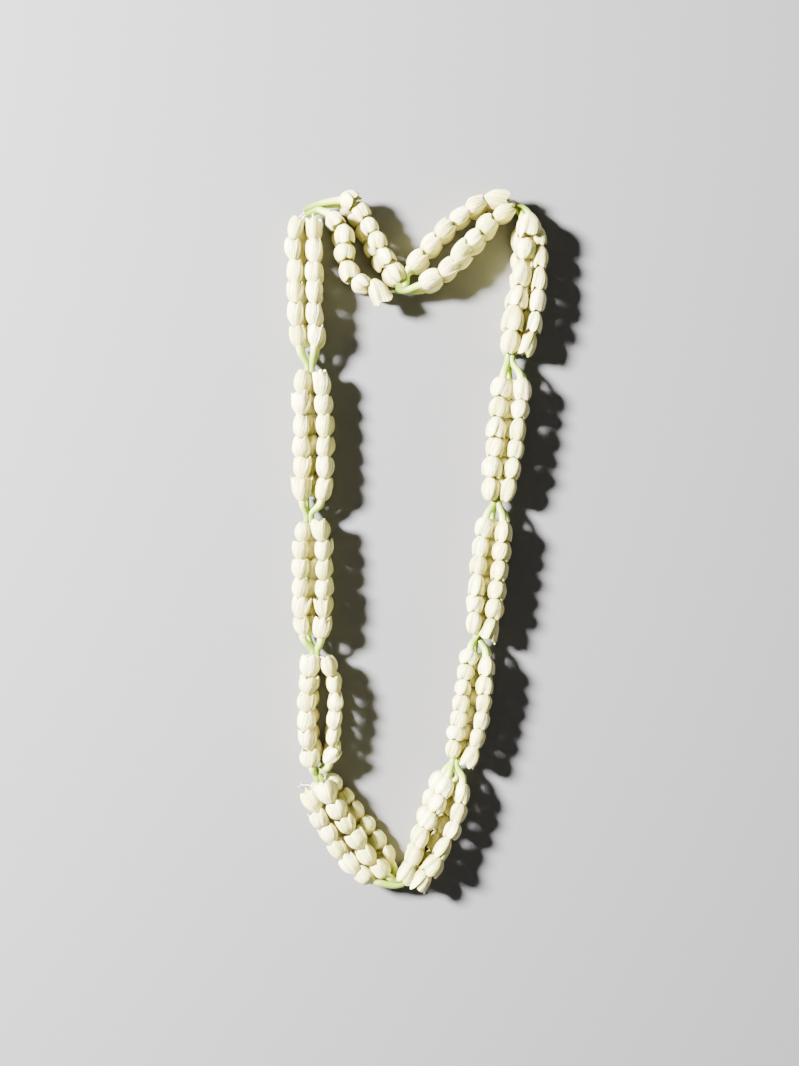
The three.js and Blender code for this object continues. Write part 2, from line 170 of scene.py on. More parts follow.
BUNCHES = (
    Bunch("left_1", (-57.0, 181.8), (7.4, 12.5),
          (-11.3, -8.9, -8.5, -7.0), (0.5, 1.7, 2.1, 2.9),
          (-10.0, -8.8, -8.0, -6.4), (0.4, 1.3, 2.1, 3.6)),
    Bunch("left_2", (-58.9, 93.0), (2.9, 12.0),
          (-4.2, -4.1, -3.5, -4.2), (7.4, 8.0, 8.4, 8.4),
          (-2.6, -2.4, -2.0, -2.6), (7.6, 7.9, 8.2, 7.8)),
    Bunch("left_3", (-59.2, 11.5), (2.9, 10.5),
          (-4.2, -5.4, -6.4, -7.5), (7.2, 7.1, 6.0, 4.6),
          (-2.6, -2.9, -3.7, -4.8), (7.5, 7.2, 6.5, 5.3)),
    Bunch("left_4", (-55.9, -63.4), (2.9, 9.0),
          (-2.9, -4.8, -5.2, -3.9), (8.6, 10.4, 9.4, 7.6),
          (-2.2, -4.2, -4.6, -3.2), (8.8, 10.0, 9.2, 8.0)),
    Bunch("left_5", (-53.9, -130.6), (5.0, 9.4),
          (-11.6, -14.2, -15.2, -13.6), (-1.6, -3.0, -4.4, -3.6),
          (-7.8, -8.8, -9.2, -9.2), (3.2, 2.8, 3.2, 2.8)),
    Bunch("right_5", (-9.7, -188.6), (4.4, 10.0),
          (-11.8, -13.8, -14.2, -11.0), (-1.9, 0.0, -0.3, -0.2),
          (-13.4, -10.4, -8.4, -7.8), (-3.6, 0.0, 1.8, 2.4)),
    Bunch("right_4", (21.7, -120.6), (2.9, 10.0),
          (-8.4, -9.6, -8.9, -7.4), (2.7, 2.7, 3.7, 3.6),
          (-11.2, -11.4, -11.2, -9.6), (-1.2, -1.4, -1.2, 0.3)),
    Bunch("right_3", (34.1, -52.4), (2.9, 11.5),
          (-6.4, -6.8, -6.5, -5.7), (4.5, 4.8, 5.4, 5.6),
          (-9.0, -9.2, -9.3, -8.8), (0.9, 0.7, 0.6, 1.1)),
    Bunch("right_2", (44.3, 23.0), (2.9, 12.0),
          (-6.0, -7.3, -7.8, -8.4), (4.6, 4.2, 4.1, 3.6),
          (-9.3, -9.6, -10.2, -11.2), (0.7, 0.3, -0.3, -1.3)),
    Bunch("right_1", (51.7, 101.1), (3.4, 9.0),
          (-10.2, -12.7, -13.6, -12.8), (0.2, -1.2, -3.5, -2.9),
          (-9.8, -11.6, -13.6, -12.8), (0.4, -1.4, -3.5, -2.8)),
    Bunch("top_2", (56.4, 182.0), (4.6, 10.0),
          (-12.8, -15.2, -11.8, -7.2), (-3.0, -0.6, 5.2, 6.8),
          (-12.6, -14.0, -10.6, -6.4), (-2.0, 3.4, 8.0, 9.0)),
    Bunch("top_1", (-9.1, 138.6), (5.0, 8.0),
          (-5.0, -8.6, -15.4, -17.2), (9.6, 14.0, 5.2, -5.2),
          (-2.4, -5.4, -11.6, -16.6), (9.0, 13.2, 4.8, -5.6)),
)


# How much sooner a strand starts and how much further it reaches than the others of its bunch.
LONGER = {
    ("left_2", Role.OUTER_UPPER): (0.5, 2.5),
    ("left_2", Role.INNER_UPPER): (0.0, 2.0),
    ("left_3", Role.INNER_UPPER): (0.5, 1.5),
    ("left_4", Role.OUTER_UPPER): (1.0, 3.0),
    ("left_4", Role.INNER_UPPER): (0.0, 1.5),
    ("left_5", Role.INNER_UPPER): (-1.0, 2.5),
    ("right_4", Role.OUTER_UPPER): (2.6, 0.0),
    ("right_4", Role.INNER_UPPER): (0.0, 2.5),
    ("right_3", Role.OUTER_UPPER): (2.0, 0.0),
    ("right_2", Role.OUTER_UPPER): (1.6, 0.0),
    ("right_2", Role.INNER_UPPER): (1.8, 0.0),
    ("right_1", Role.INNER_UPPER): (0.0, 3.0),
}


@dataclass(frozen=True)
class Route:
    """A smooth line through a few places, which is followed by length."""

    places: np.ndarray
    samples: int = 60
    near: float = 0.004

    @property
    def line(self) -> np.ndarray:
        """Many places along it, close together.

        Returns:
            The places, a row each.
        """
        before = 2 * self.places[0] - self.places[1]
        after = 2 * self.places[-1] - self.places[-2]
        held = np.vstack([before, self.places, after])
        found = []
        for a, b, c, d in zip(held, held[1:], held[2:], held[3:]):
            t = np.linspace(0, 1, self.samples, endpoint=False)[:, None]
            leave, reach = (c - a) / 2, (d - b) / 2
            found.append(b + leave * t + (3 * (c - b) - 2 * leave - reach) * t ** 2
                         + (2 * (b - c) + leave + reach) * t ** 3)
        return np.vstack([*found, self.places[-1:]])

    def at(self, shares: Sequence[float]) -> np.ndarray:
        """Places by their share of its length. Past an end it goes on straight.

        Args:
            shares: How far along it each place is. Below 0 and above 1 is past an end.

        Returns:
            The places, a row each.
        """
        line = self.line
        steps = np.linalg.norm(np.diff(line, axis=0), axis=1)
        reached = np.concatenate([[0], np.cumsum(steps)])
        wanted = np.asarray(shares, float) * reached[-1]
        held = np.clip(wanted, 0, reached[-1])
        found = np.stack([np.interp(held, reached, line[:, n]) for n in range(3)], axis=1)
        start, end = unit(line[1] - line[0]), unit(line[-1] - line[-2])
        past = wanted - held
        return found + np.where(past[:, None] < 0, start, end) * past[:, None]

    def heading(self, share: float) -> np.ndarray:
        """Its direction at a share of its length."""
        before, after = self.at([max(share - self.near, 0), min(share + self.near, 1)])
        return unit(after - before)

    @property
    def length(self) -> float:
        """Its length."""
        return float(np.linalg.norm(np.diff(self.line, axis=0), axis=1).sum())


@dataclass
class Layout:
    """Where the strands, the gatherings and the knot lie.

    A gap is between the middles of two strands that lie on each other, and one strand is pressed into
    the one below it. The gathered tubes lie aside of the middle and above or below it. The fuller
    strand has one bud more than the others. The knot is a little ahead of where its bunch begins.
    """

    strand_gap: float = 9.85
    pressed_gap: float = 8.0
    under_height: float = 4.2
    gather_height: float = 9.3
    gather_aside: float = 1.3
    gather_above: float = 1.2
    lean: float = 0.25
    buds: int = 6
    fuller: tuple[str, Role] = ("right_4", Role.INNER_UPPER)
    pressed: tuple[str, Role] = ("left_2", Role.INNER_UPPER)
    knot_bunch: int = 4
    knot_ahead: float = 1.75

    def heading(self, number: int) -> np.ndarray:
        """The direction from that bunch's beginning to the next one's."""
        here, there = BUNCHES[number].at, BUNCHES[(number + 1) % len(BUNCHES)].at
        return unit(np.array([there[0] - here[0], there[1] - here[1], 0.0]))

    def inward(self, number: int) -> np.ndarray:
        """The direction to the inner side of a bunch."""
        return np.cross(UP, self.heading(number))

    def gathered_heading(self, number: int) -> np.ndarray:
        """The direction of the tubes where that bunch begins."""
        return unit(self.heading(number - 1) + self.heading(number))

    def gathering(self, number: int, role: Role | None = None) -> np.ndarray:
        """Where the tubes of the bunch before draw together.

        Args:
            number: The bunch that begins there.
            role: The strand whose tube is meant, or None for the middle of the four.

        Returns:
            The place.
        """
        middle = np.array([*BUNCHES[number].at, self.gather_height])
        if role is None:
            return middle
        along = self.gathered_heading(number)
        aside = unit(np.cross(UP, along))
        above = np.cross(along, aside)
        side = self.gather_aside if role.is_inner else -self.gather_aside
        height = self.gather_above if role.is_upper else -self.gather_above
        return middle + aside * side + above * height

    def height_over(self, bunch: Bunch, role: Role, place: int) -> float:
        """How high an upper strand lies where it rests on the two lower ones.

        Args:
            bunch: Its bunch.
            role: The strand.
            place: Which of the four places along it.

        Returns:
            The height of its middle.
        """
        rise = 0.0
        for under in (Role.OUTER_LOWER, Role.INNER_LOWER):
            apart = bunch.across(role)[place] - bunch.across(under)[place]
            rise = max(rise, math.sqrt(max(self.strand_gap ** 2 - apart ** 2, 0)))
        return self.under_height + rise

    def route(self, number: int, role: Role) -> Route:
        """The line of one strand, from its first petal tips to its last base.

        Args:
            number: Its bunch.
            role: The strand.

        Returns:
            The line through the middles of its buds.
        """
        bunch = BUNCHES[number]
        following = (number + 1) % len(BUNCHES)
        origin = np.array([*bunch.at, 0.0])
        ahead, inward = self.heading(number), self.inward(number)
        reach = float(np.linalg.norm(np.subtract(BUNCHES[following].at, bunch.at)))
        sooner, further = LONGER.get((bunch.name, role), (0.0, 0.0))
        start, end = bunch.clear[0] - sooner, reach - bunch.clear[1] + further
        asides = bunch.across(role)
        half_bud = (end - start) / (2 * self.buds)
        step = (end - start - 2 * half_bud) / (len(asides) - 1)
        places = []
        for place, aside in enumerate(asides):
            height = self.under_height
            if (bunch.name, role) == self.pressed:
                height += self.pressed_gap
            elif role.is_upper:
                height = self.height_over(bunch, role, place)
            places.append(origin + ahead * (start + half_bud + place * step) + inward * aside + UP * height)

        def leaned(bud: np.ndarray, gathering: np.ndarray, along: float) -> np.ndarray:
            """The strand's end, drawn in a little towards the gathering beyond it."""
            point = bud + (gathering - bud) * self.lean
            return point + ahead * (along - float((point - origin) @ ahead))

        entry = leaned(places[0], self.gathering(number, role), start)
        leave = leaned(places[-1], self.gathering(following, role), end)
        return Route(np.array([entry, *places, leave]))

    @property
    def knot(self) -> np.ndarray:
        """The middle of the knot."""
        return self.gathering(self.knot_bunch) + self.heading(self.knot_bunch) * self.knot_ahead


# ---- node trees ------------------------------------------------------------------------------


class Wire:
    """A socket that Python's own signs can work with."""

    def __init__(self, desk: "Desk", socket: bpy.types.NodeSocket) -> None:
        """Wraps a socket of a tree."""
        self.desk = desk
        self.socket = socket

    def _sum(self, operation: str, first: Any, second: Any) -> "Wire":
        """The Math node of that operation on two values."""
        return self.desk.node("ShaderNodeMath", {"operation": operation}, {0: first, 1: second})

    def __add__(self, other: Any) -> "Wire":
        """This value and another."""
        return self._sum("ADD", self, other)

    __radd__ = __add__

    def __sub__(self, other: Any) -> "Wire":
        """This value less another."""
        return self._sum("SUBTRACT", self, other)

    def __rsub__(self, other: Any) -> "Wire":
        """Another value less this one."""
        return self._sum("SUBTRACT", other, self)

    def __mul__(self, other: Any) -> "Wire":
        """This value times another."""
        return self._sum("MULTIPLY", self, other)

    __rmul__ = __mul__

    def __abs__(self) -> "Wire":
        """This value without its sign."""
        return self._sum("ABSOLUTE", self, 0.0)


@dataclass(frozen=True)
class Band:
    """The value where a tint sets in, the value where it is full, and how much of it there is then."""

    low: float
    full: float
    share: float = 1.0


class Desk:
    """A node tree, and the one way in which nodes are put into it."""

    def __init__(self, tree: bpy.types.NodeTree) -> None:
        """Takes a tree to fill."""
        self.tree = tree

    @staticmethod
    def _socket(sockets: Any, key: int | str) -> bpy.types.NodeSocket:
        """One of the sockets of a node.

        Args:
            sockets: The node's inputs or its outputs.
            key: The socket's name or place.

        Returns:
            The socket. Of several with the name it is the one in use.
        """
        if isinstance(key, int):
            return sockets[key]
        return next(s for s in sockets if s.name == key and s.enabled)

    def place(self, kind: str, settings: dict[str, Any], inputs: dict[int | str, Any]) -> bpy.types.Node:
        """Puts in a node.

        Args:
            kind: The node's type.
            settings: Its settings, which are set before its sockets are.
            inputs: What its sockets hold: a value or another node's Wire.

        Returns:
            The node.
        """
        node = self.tree.nodes.new(kind)
        for name, value in settings.items():
            if name == "stops":
                self._set_stops(node.color_ramp, value)
            else:
                setattr(node, name, value)
        for key, value in inputs.items():
            socket = self._socket(node.inputs, key)
            if isinstance(value, Wire):
                self.tree.links.new(value.socket, socket)
            else:
                socket.default_value = value
        return node

    @staticmethod
    def _set_stops(ramp: bpy.types.ColorRamp, stops: Sequence[tuple[float, Any]]) -> None:
        """Gives a ramp its stops.

        Args:
            ramp: The ramp.
            stops: A position and a colour for each stop.
        """
        while len(ramp.elements) < len(stops):
            ramp.elements.new(1.0)
        for element, (position, colour) in zip(ramp.elements, stops):
            element.position = position
            element.color = colour

    def node(self, kind: str, settings: dict[str, Any], inputs: dict[int | str, Any],
             output: int | str = 0) -> Wire:
        """Puts in a node and gives one of its outputs."""
        return Wire(self, self._socket(self.place(kind, settings, inputs).outputs, output))

    def attribute(self, name: str) -> Wire:
        """A number that the piece's own mesh carries."""
        return self.node("ShaderNodeAttribute", {"attribute_name": name}, {}, "Fac")

    def mix(self, share: Any, first: Any, second: Any) -> Wire:
        """The first colour turning into the second."""
        settings = {"data_type": "RGBA", "clamp_factor": True}
        return self.node("ShaderNodeMix", settings, {"Factor": share, "A": first, "B": second}, "Result")

    def tint(self, value: Any, band: Band) -> Wire:
        """How much of a tint there is. It sets in softly.

        Args:
            value: What the tint goes by.
            band: Where it sets in and how much there is of it.

        Returns:
            The share of the tint.
        """
        step = self.node("ShaderNodeMapRange", {"interpolation_type": "SMOOTHSTEP"},
                         {"Value": value, "From Min": band.low, "From Max": band.full})
        return step if band.share == 1.0 else step * band.share

    def where(self) -> Wire:
        """The place on the piece, in metres."""
        return self.node("ShaderNodeTexCoord", {}, {}, "Object")

    def noise(self, places: Wire, scale: float, detail: float) -> Wire:
        """A cloudy pattern over those places."""
        return self.node("ShaderNodeTexNoise", {}, {"Vector": places, "Scale": scale, "Detail": detail})

    def bumps(self, strength: float, depth: float, height: Wire) -> Wire:
        """The normal of a surface with a fine relief."""
        inputs = {"Strength": strength, "Distance": depth, "Height": height}
        return self.node("ShaderNodeBump", {}, inputs)


class Growth(Desk):
    """A Geometry Nodes tree with named inputs."""

    def __init__(self, name: str, inputs: dict[str, str]) -> None:
        """Makes an empty tree.

        Args:
            name: The tree's name.
            inputs: The kind of socket for each named input.
        """
        super().__init__(bpy.data.node_groups.new(name, "GeometryNodeTree"))
        self.tree.interface.new_socket("Geometry", in_out="INPUT", socket_type="NodeSocketGeometry")
        for label, kind in inputs.items():
            self.tree.interface.new_socket(label, in_out="INPUT", socket_type=kind)
        self.tree.interface.new_socket("Geometry", in_out="OUTPUT", socket_type="NodeSocketGeometry")
        self.group = self.tree.nodes.new("NodeGroupInput")

    def given(self, label: str) -> Wire:
        """One of the tree's named inputs."""
        return Wire(self, self.group.outputs[label])

    def named(self, name: str, kind: str) -> Wire:
        """An attribute of the geometry."""
        return self.node("GeometryNodeInputNamedAttribute", {"data_type": kind}, {"Name": name}, "Attribute")

    def stored(self, geometry: Wire, name: str, value: Wire) -> Wire:
        """Keeps a number on the points of the geometry.

        Args:
            geometry: What carries the number.
            name: The name.
            value: The number of each point.

        Returns:
            The geometry with it.
        """
        settings = {"data_type": "FLOAT", "domain": "POINT"}
        inputs = {"Geometry": geometry, "Name": name, "Value": value}
        return self.node("GeometryNodeStoreNamedAttribute", settings, inputs)

    def random(self, low: float, high: float, seed: Wire) -> Wire:
        """A random number for each point."""
        inputs = {"Min": low, "Max": high, "Seed": seed}
        return self.node("FunctionNodeRandomValue", {"data_type": "FLOAT"}, inputs, "Value")

    def finish(self, geometry: Wire) -> None:
        """Realizes what was placed, gives it the material and ends the tree.

        Args:
            geometry: What the tree made.
        """
        real = self.node("GeometryNodeRealizeInstances", {}, {"Geometry": geometry})
        smooth = self.node("GeometryNodeSetShadeSmooth", {}, {"Geometry": real})
        dressed = self.node("GeometryNodeSetMaterial", {},
                            {"Geometry": smooth, "Material": self.given("Material")})
        self.place("NodeGroupOutput", {}, {"Geometry": dressed})

    def grow(self, seedling: bpy.types.Object, values: dict[str, Any]) -> bpy.types.Mesh:
        """Runs the tree on an object and gives the plain mesh.

        Args:
            seedling: The object that the tree starts from. It is removed.
            values: The value of each named input.

        Returns:
            The mesh that the tree made.
        """
        modifier = seedling.modifiers.new("growth", "NODES")
        modifier.node_group = self.tree
        for item in self.tree.interface.items_tree:
            if item.in_out == "INPUT" and item.name in values:
                modifier[item.identifier] = values[item.name]
        bpy.context.view_layer.update()
        evaluated = seedling.evaluated_get(bpy.context.evaluated_depsgraph_get())
        mesh = bpy.data.meshes.new_from_object(evaluated)
        seedling.modifiers.remove(modifier)
        bpy.data.objects.remove(seedling)
        return mesh


def in_scene(name: str, data: Any) -> bpy.types.Object:
    """Puts a mesh, a light or a camera in the scene.

    Args:
        name: The object's name.
        data: The mesh, light or camera.

    Returns:
        The object.
    """
    made = bpy.data.objects.new(name, data)
    bpy.context.scene.collection.objects.link(made)
    return made


def seedling_of(name: str, places: np.ndarray, lines: Iterable[Sequence[int]] = ()) -> bpy.types.Object:
    """Makes bare vertices for a tree to start from.

    Args:
        name: The object's name.
        places: Where its vertices are, in millimetres.
        lines: The pairs of vertices that an edge joins.

    Returns:
        The object, in metres.
    """
    mesh = bpy.data.meshes.new(name)
    mesh.from_pydata((places * MM).tolist(), [tuple(line) for line in lines], [])
    return in_scene(name, mesh)


def note(mesh: bpy.types.Mesh, name: str, kind: str, values: np.ndarray) -> None:
    """Gives each vertex of a mesh a value under a name.

    Args:
        mesh: The mesh.
        name: The name.
        kind: The values' type, as attributes call it.
        values: A value or a vector for each vertex.
    """
    attribute = mesh.attributes.new(name, kind, "POINT")
    key = "vector" if kind == "FLOAT_VECTOR" else "value"
    attribute.data.foreach_set(key, np.asarray(values, float if kind != "INT" else int).ravel())


def piece(name: str, mesh: bpy.types.Mesh, nodes: Sequence[str]) -> bpy.types.Object:
    """Puts a finished mesh in the scene as a piece of the lei.

    Args:
        name: The piece's name.
        mesh: Its mesh, already in place.
        nodes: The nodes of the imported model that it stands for.

    Returns:
        The piece.
    """
    mesh.name = name
    made = in_scene(name, mesh)
    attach(made, BODY)
    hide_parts(*nodes)
    log.info("%s: %d faces", name, len(mesh.polygons))
    return made


# ---- finishes --------------------------------------------------------------------------------


@dataclass(frozen=True)
class Finish:
    """A finish of the lei, whose nodes are made once."""

    name: str = "finish"

    def shader(self, desk: Desk) -> dict[str, Any]:
        """What the shader's sockets hold.

        Args:
            desk: The material's tree, which other nodes go into.

        Returns:
            A value or a Wire for each socket that the finish sets.
        """
        raise NotImplementedError

    def material(self) -> bpy.types.Material:
        """The finish as a material.

        Returns:
            The material, which is made at the first call.
        """
        found = bpy.data.materials.get(self.name)
        if found:
            return found
        made = bpy.data.materials.new(self.name)
        made.use_nodes = True
        made.node_tree.nodes.clear()
        desk = Desk(made.node_tree)
        surface = desk.node("ShaderNodeBsdfPrincipled", {}, self.shader(desk))
        desk.place("ShaderNodeOutputMaterial", {}, {"Surface": surface})
        return made


@dataclass(frozen=True)
class PetalFinish(Finish):
    """Waxy ivory petals with fine veins, greener at the seams, with painted shade along the lapped petal
    edges and golden painted shade where other buds or the floor shut them in.

    A pattern's scale is followed by its detail. The veins run along a petal, and differ from bud to
    bud and from petal to petal. A bump has a strength and a depth, and a sheen an amount and a
    roughness. The glow is how much light goes through the petals, and how far.
    """

    name: str = "ivory_petal"
    ivory: str = "fcf5ba"
    cream: str = "e8dc88"
    tinge: str = "d6d78c"
    # Greener seams and veins. At the lapped petal edges this is also painted shade in the groove.
    seam: str = "9ea65e"
    base: str = "cdd678"
    # The colour of the painted shade in nooks between buds and over the floor.
    gold: str = "b2a96e"
    bruise: str = "b98c4e"
    mottle_scale: tuple[float, float] = (420.0, 2.0)
    tinge_scale: tuple[float, float] = (130.0, 1.0)
    bruise_scale: tuple[float, float] = (95.0, 3.0)
    vein_scale: tuple[float, float] = (3.0, 5.0)
    vein_across: float = 1.4
    vein_along: float = 0.5
    vein_apart: float = 9.0
    bud_cream: float = 0.5
    petal_cream: float = 0.2
    bud_tinge: float = 0.2
    cream_band: Band = Band(0.48, 1.12)
    edge_band: Band = Band(0.74, 1.0, 0.85)
    tinge_band: Band = Band(0.5, 0.8, 0.7)
    vein_band: Band = Band(0.5, 0.66)
    vein_share: float = 0.4
    tip_length: float = 0.6
    tip_band: Band = Band(0.0, 0.6, 0.4)
    base_band: Band = Band(0.78, 1.0, 0.7)
    mouth_band: Band = Band(0.02, 0.2, 0.3)
    bruise_band: Band = Band(0.69, 0.76, 0.5)
    nook_band: Band = Band(0.12, 0.85, 0.85)
    bump: tuple[float, float] = (0.7, 0.0009)
    bump_mottle: float = 0.25
    roughness: float = 0.46
    uneven: float = 0.12
    glow: tuple[float, float] = (0.16, 0.0015)
    glow_colour: tuple[float, float, float] = (0.95, 0.95, 0.45)
    sheen: tuple[float, float] = (0.12, 0.4)

    def shader(self, desk: Desk) -> dict[str, Any]:
        """What the shader's sockets hold.

        Args:
            desk: The material's tree.

        Returns:
            A value or a Wire for each socket that the finish sets.
        """
        along, across = desk.attribute("petal_along"), desk.attribute("petal_across")
        tone, nook = desk.attribute("tone"), desk.attribute("nook")
        petal = desk.attribute("petal_tone")
        where = desk.where()
        mottle = desk.noise(where, *self.mottle_scale)
        running = desk.node("ShaderNodeCombineXYZ", {}, {
            "X": across * self.vein_across, "Y": along * self.vein_along,
            "Z": (petal + tone) * self.vein_apart})
        veins = desk.noise(running, *self.vein_scale)
        cream = desk.tint(mottle + tone * self.bud_cream + petal * self.petal_cream, self.cream_band)
        colour = desk.mix(cream, linear(self.ivory), linear(self.cream))
        edge_shade = desk.tint(abs(across), self.edge_band)
        tinge = desk.noise(where, *self.tinge_scale) + tone * self.bud_tinge
        colour = desk.mix(desk.tint(tinge, self.tinge_band), colour, linear(self.tinge))
        tips = desk.tint(self.tip_length - along, self.tip_band)
        streak = desk.tint(veins, self.vein_band) * (self.vein_share + tips)
        # Veins turn greener, and the petal edges darken with painted shade where one petal laps over the
        # next.
        colour = desk.mix(edge_shade + streak, colour, linear(self.seam))
        ends = desk.tint(along, self.base_band) + desk.tint(0.0 - along, self.mouth_band)
        colour = desk.mix(ends, colour, linear(self.base))
        spots = desk.noise(where, *self.bruise_scale)
        colour = desk.mix(desk.tint(spots, self.bruise_band), colour, linear(self.bruise))
        # Painted golden shade where other buds or the floor shut a petal in.
        colour = desk.mix(desk.tint(nook, self.nook_band), colour, linear(self.gold))
        return {
            "Base Color": colour,
            "Roughness": self.roughness + (mottle - 0.5) * self.uneven,
            "Normal": desk.bumps(*self.bump, veins + mottle * self.bump_mottle),
            "Subsurface Weight": self.glow[0],
            "Subsurface Radius": self.glow_colour,
            "Subsurface Scale": self.glow[1],
            "Sheen Weight": self.sheen[0],
            "Sheen Roughness": self.sheen[1],
        }


@dataclass(frozen=True)
class TubeFinish(Finish):
    """Pale corolla tubes that turn green towards their cut ends."""

    name: str = "green_tube"
    pale: str = "d3da84"
    fresh: str = "9fb63e"
    deep: str = "6d8620"
    fresh_at: float = 0.32
    mottle_scale: tuple[float, float] = (500.0, 2.0)
    mottled: float = 0.25
    bump: tuple[float, float] = (0.3, 0.0002)
    roughness: float = 0.42
    uneven: float = 0.15
    glow: tuple[float, float] = (0.2, 0.0012)
    glow_colour: tuple[float, float, float] = (0.8, 1.0, 0.3)

    def shader(self, desk: Desk) -> dict[str, Any]:
        """What the shader's sockets hold.

        Args:
            desk: The material's tree.

        Returns:
            A value or a Wire for each socket that the finish sets.
        """
        along = desk.attribute("tube_along")
        mottle = desk.noise(desk.where(), *self.mottle_scale)
        stops = [(0.0, linear(self.pale)), (self.fresh_at, linear(self.fresh)), (1.0, linear(self.deep))]
        greener = along + (mottle - 0.5) * self.mottled
        return {
            "Base Color": desk.node("ShaderNodeValToRGB", {"stops": stops}, {"Fac": greener}),
            "Roughness": self.roughness + (mottle - 0.5) * self.uneven,
            "Normal": desk.bumps(*self.bump, mottle),
            "Subsurface Weight": self.glow[0],
            "Subsurface Radius": self.glow_colour,
            "Subsurface Scale": self.glow[1],
        }


@dataclass(frozen=True)
class ThreadFinish(Finish):
    """Undyed cotton thread, with painted shade in the grooves between its plies."""

    name: str = "cotton_thread"
    pale: str = "eee9d8"
    dusk: str = "c9c0a2"
    ply_band: Band = Band(-0.9, 0.6)
    bump: tuple[float, float] = (0.8, 0.0002)
    roughness: float = 0.85
    uneven: float = 0.1

    def shader(self, desk: Desk) -> dict[str, Any]:
        """What the shader's sockets hold.

        Args:
            desk: The material's tree.

        Returns:
            A value or a Wire for each socket that the finish sets.
        """
        ply = desk.node("ShaderNodeMath", {"operation": "SINE"}, {0: desk.attribute("twist")})
        lay = desk.tint(ply, self.ply_band)
        return {
            # Painted shade in the grooves between the plies.
            "Base Color": desk.mix(lay, linear(self.dusk), linear(self.pale)),
            "Roughness": self.roughness + (1 - lay) * self.uneven,
            "Normal": desk.bumps(*self.bump, lay),
        }


@dataclass(frozen=True)
class FloorFinish(Finish):
    """The plain floor."""

    name: str = "floor"
    colour: str = "6b6b6e"
    roughness: float = 0.9

    def shader(self, desk: Desk) -> dict[str, Any]:
        """What the shader's sockets hold."""
        return {"Base Color": linear(self.colour), "Roughness": self.roughness}


# ---- the buds --------------------------------------------------------------------------------


class Form(Enum):
    """How far a bud's petals are furled."""

    EGG = "egg"
    BARREL = "barrel"
    PEAR = "pear"
    TULIP = "tulip"
    FIRST = "first"
    LOOSE = "loose"
    HALF_OPEN = "half_open"
    LAST = "last"


@dataclass(frozen=True)
class Fold:
    """A lengthwise line of a petal, from the edge that goes under to the edge that laps over."""

    share: float
    lift: float
    reach: float
    across: float


FOLDS = (Fold(0.03, -0.6, -0.65, -1.0), Fold(0.37, 0.0, 0.75, -0.3),
         Fold(0.65, 0.5, 1.05, 0.3), Fold(0.965, 1.0, -0.5, 1.0))


@dataclass(frozen=True)
class Furl:
    """A bud's shape: the hollow of its mouth, then its rows from the petal tips to the base.

    A row is a place, as a share of the bud's pitch, and a radius, as a share of the bud's. The tips
    reach past the first row by a share of the pitch, and a petal's edge lifts by a share of the radius.
    """

    rows: tuple[tuple[float, float], ...] = (
        (-0.10, 0.66), (0.05, 0.91), (0.35, 1.08), (0.65, 0.97), (0.84, 0.63), (1.0, 0.38))
    hollow: tuple[tuple[float, float], ...] = ((0.10, 0.55), (0.30, 0.34))
    tips: float = 0.12
    curl: float = 0.0
    lift: float = 0.085
    twist: float = 24.0
    petals: int = 4
    unrest: float = 1.0
    has_core: bool = False


FURLS = {
    Form.EGG: Furl(),
    Form.BARREL: Furl(rows=((-0.08, 0.71), (0.07, 0.95), (0.37, 1.06), (0.65, 1.01), (0.85, 0.68),
                            (1.0, 0.38)), tips=0.09, twist=14.0, lift=0.07),
    Form.PEAR: Furl(rows=((-0.10, 0.62), (0.06, 0.84), (0.37, 1.02), (0.65, 1.05), (0.85, 0.69),
                          (1.0, 0.40)), twist=34.0, petals=3, lift=0.09),
    Form.TULIP: Furl(rows=((-0.12, 0.82), (0.04, 0.97), (0.34, 1.06), (0.63, 0.93), (0.82, 0.60),
                           (1.0, 0.38)), hollow=((0.08, 0.72), (0.32, 0.38)), tips=0.15, curl=0.02,
                     lift=0.11, unrest=1.3),
    Form.FIRST: Furl(rows=((-0.13, 0.33), (0.03, 0.74), (0.34, 1.05), (0.65, 0.97), (0.84, 0.63),
                           (1.0, 0.38)), hollow=((0.10, 0.24),), tips=0.07, lift=0.10, unrest=1.4),
    Form.LOOSE: Furl(rows=((-0.13, 0.93), (0.04, 1.0), (0.35, 1.07), (0.63, 0.94), (0.83, 0.61),
                           (1.0, 0.38)), hollow=((0.08, 0.78), (0.34, 0.38)), tips=0.17, curl=0.05,
                     lift=0.13, unrest=1.8, petals=5),
    Form.HALF_OPEN: Furl(rows=((-0.14, 1.08), (0.05, 0.99), (0.36, 1.03), (0.64, 0.90), (0.84, 0.60),
                               (1.0, 0.38)), hollow=((0.05, 0.88), (0.36, 0.34)), tips=0.20, curl=0.12,
                         lift=0.13, unrest=2.0, petals=5, has_core=True),
    Form.LAST: Furl(rows=((-0.10, 0.68), (0.05, 0.93), (0.36, 1.07), (0.66, 1.02), (0.88, 0.79),
                          (1.0, 0.46)), lift=0.10, unrest=1.2),
}


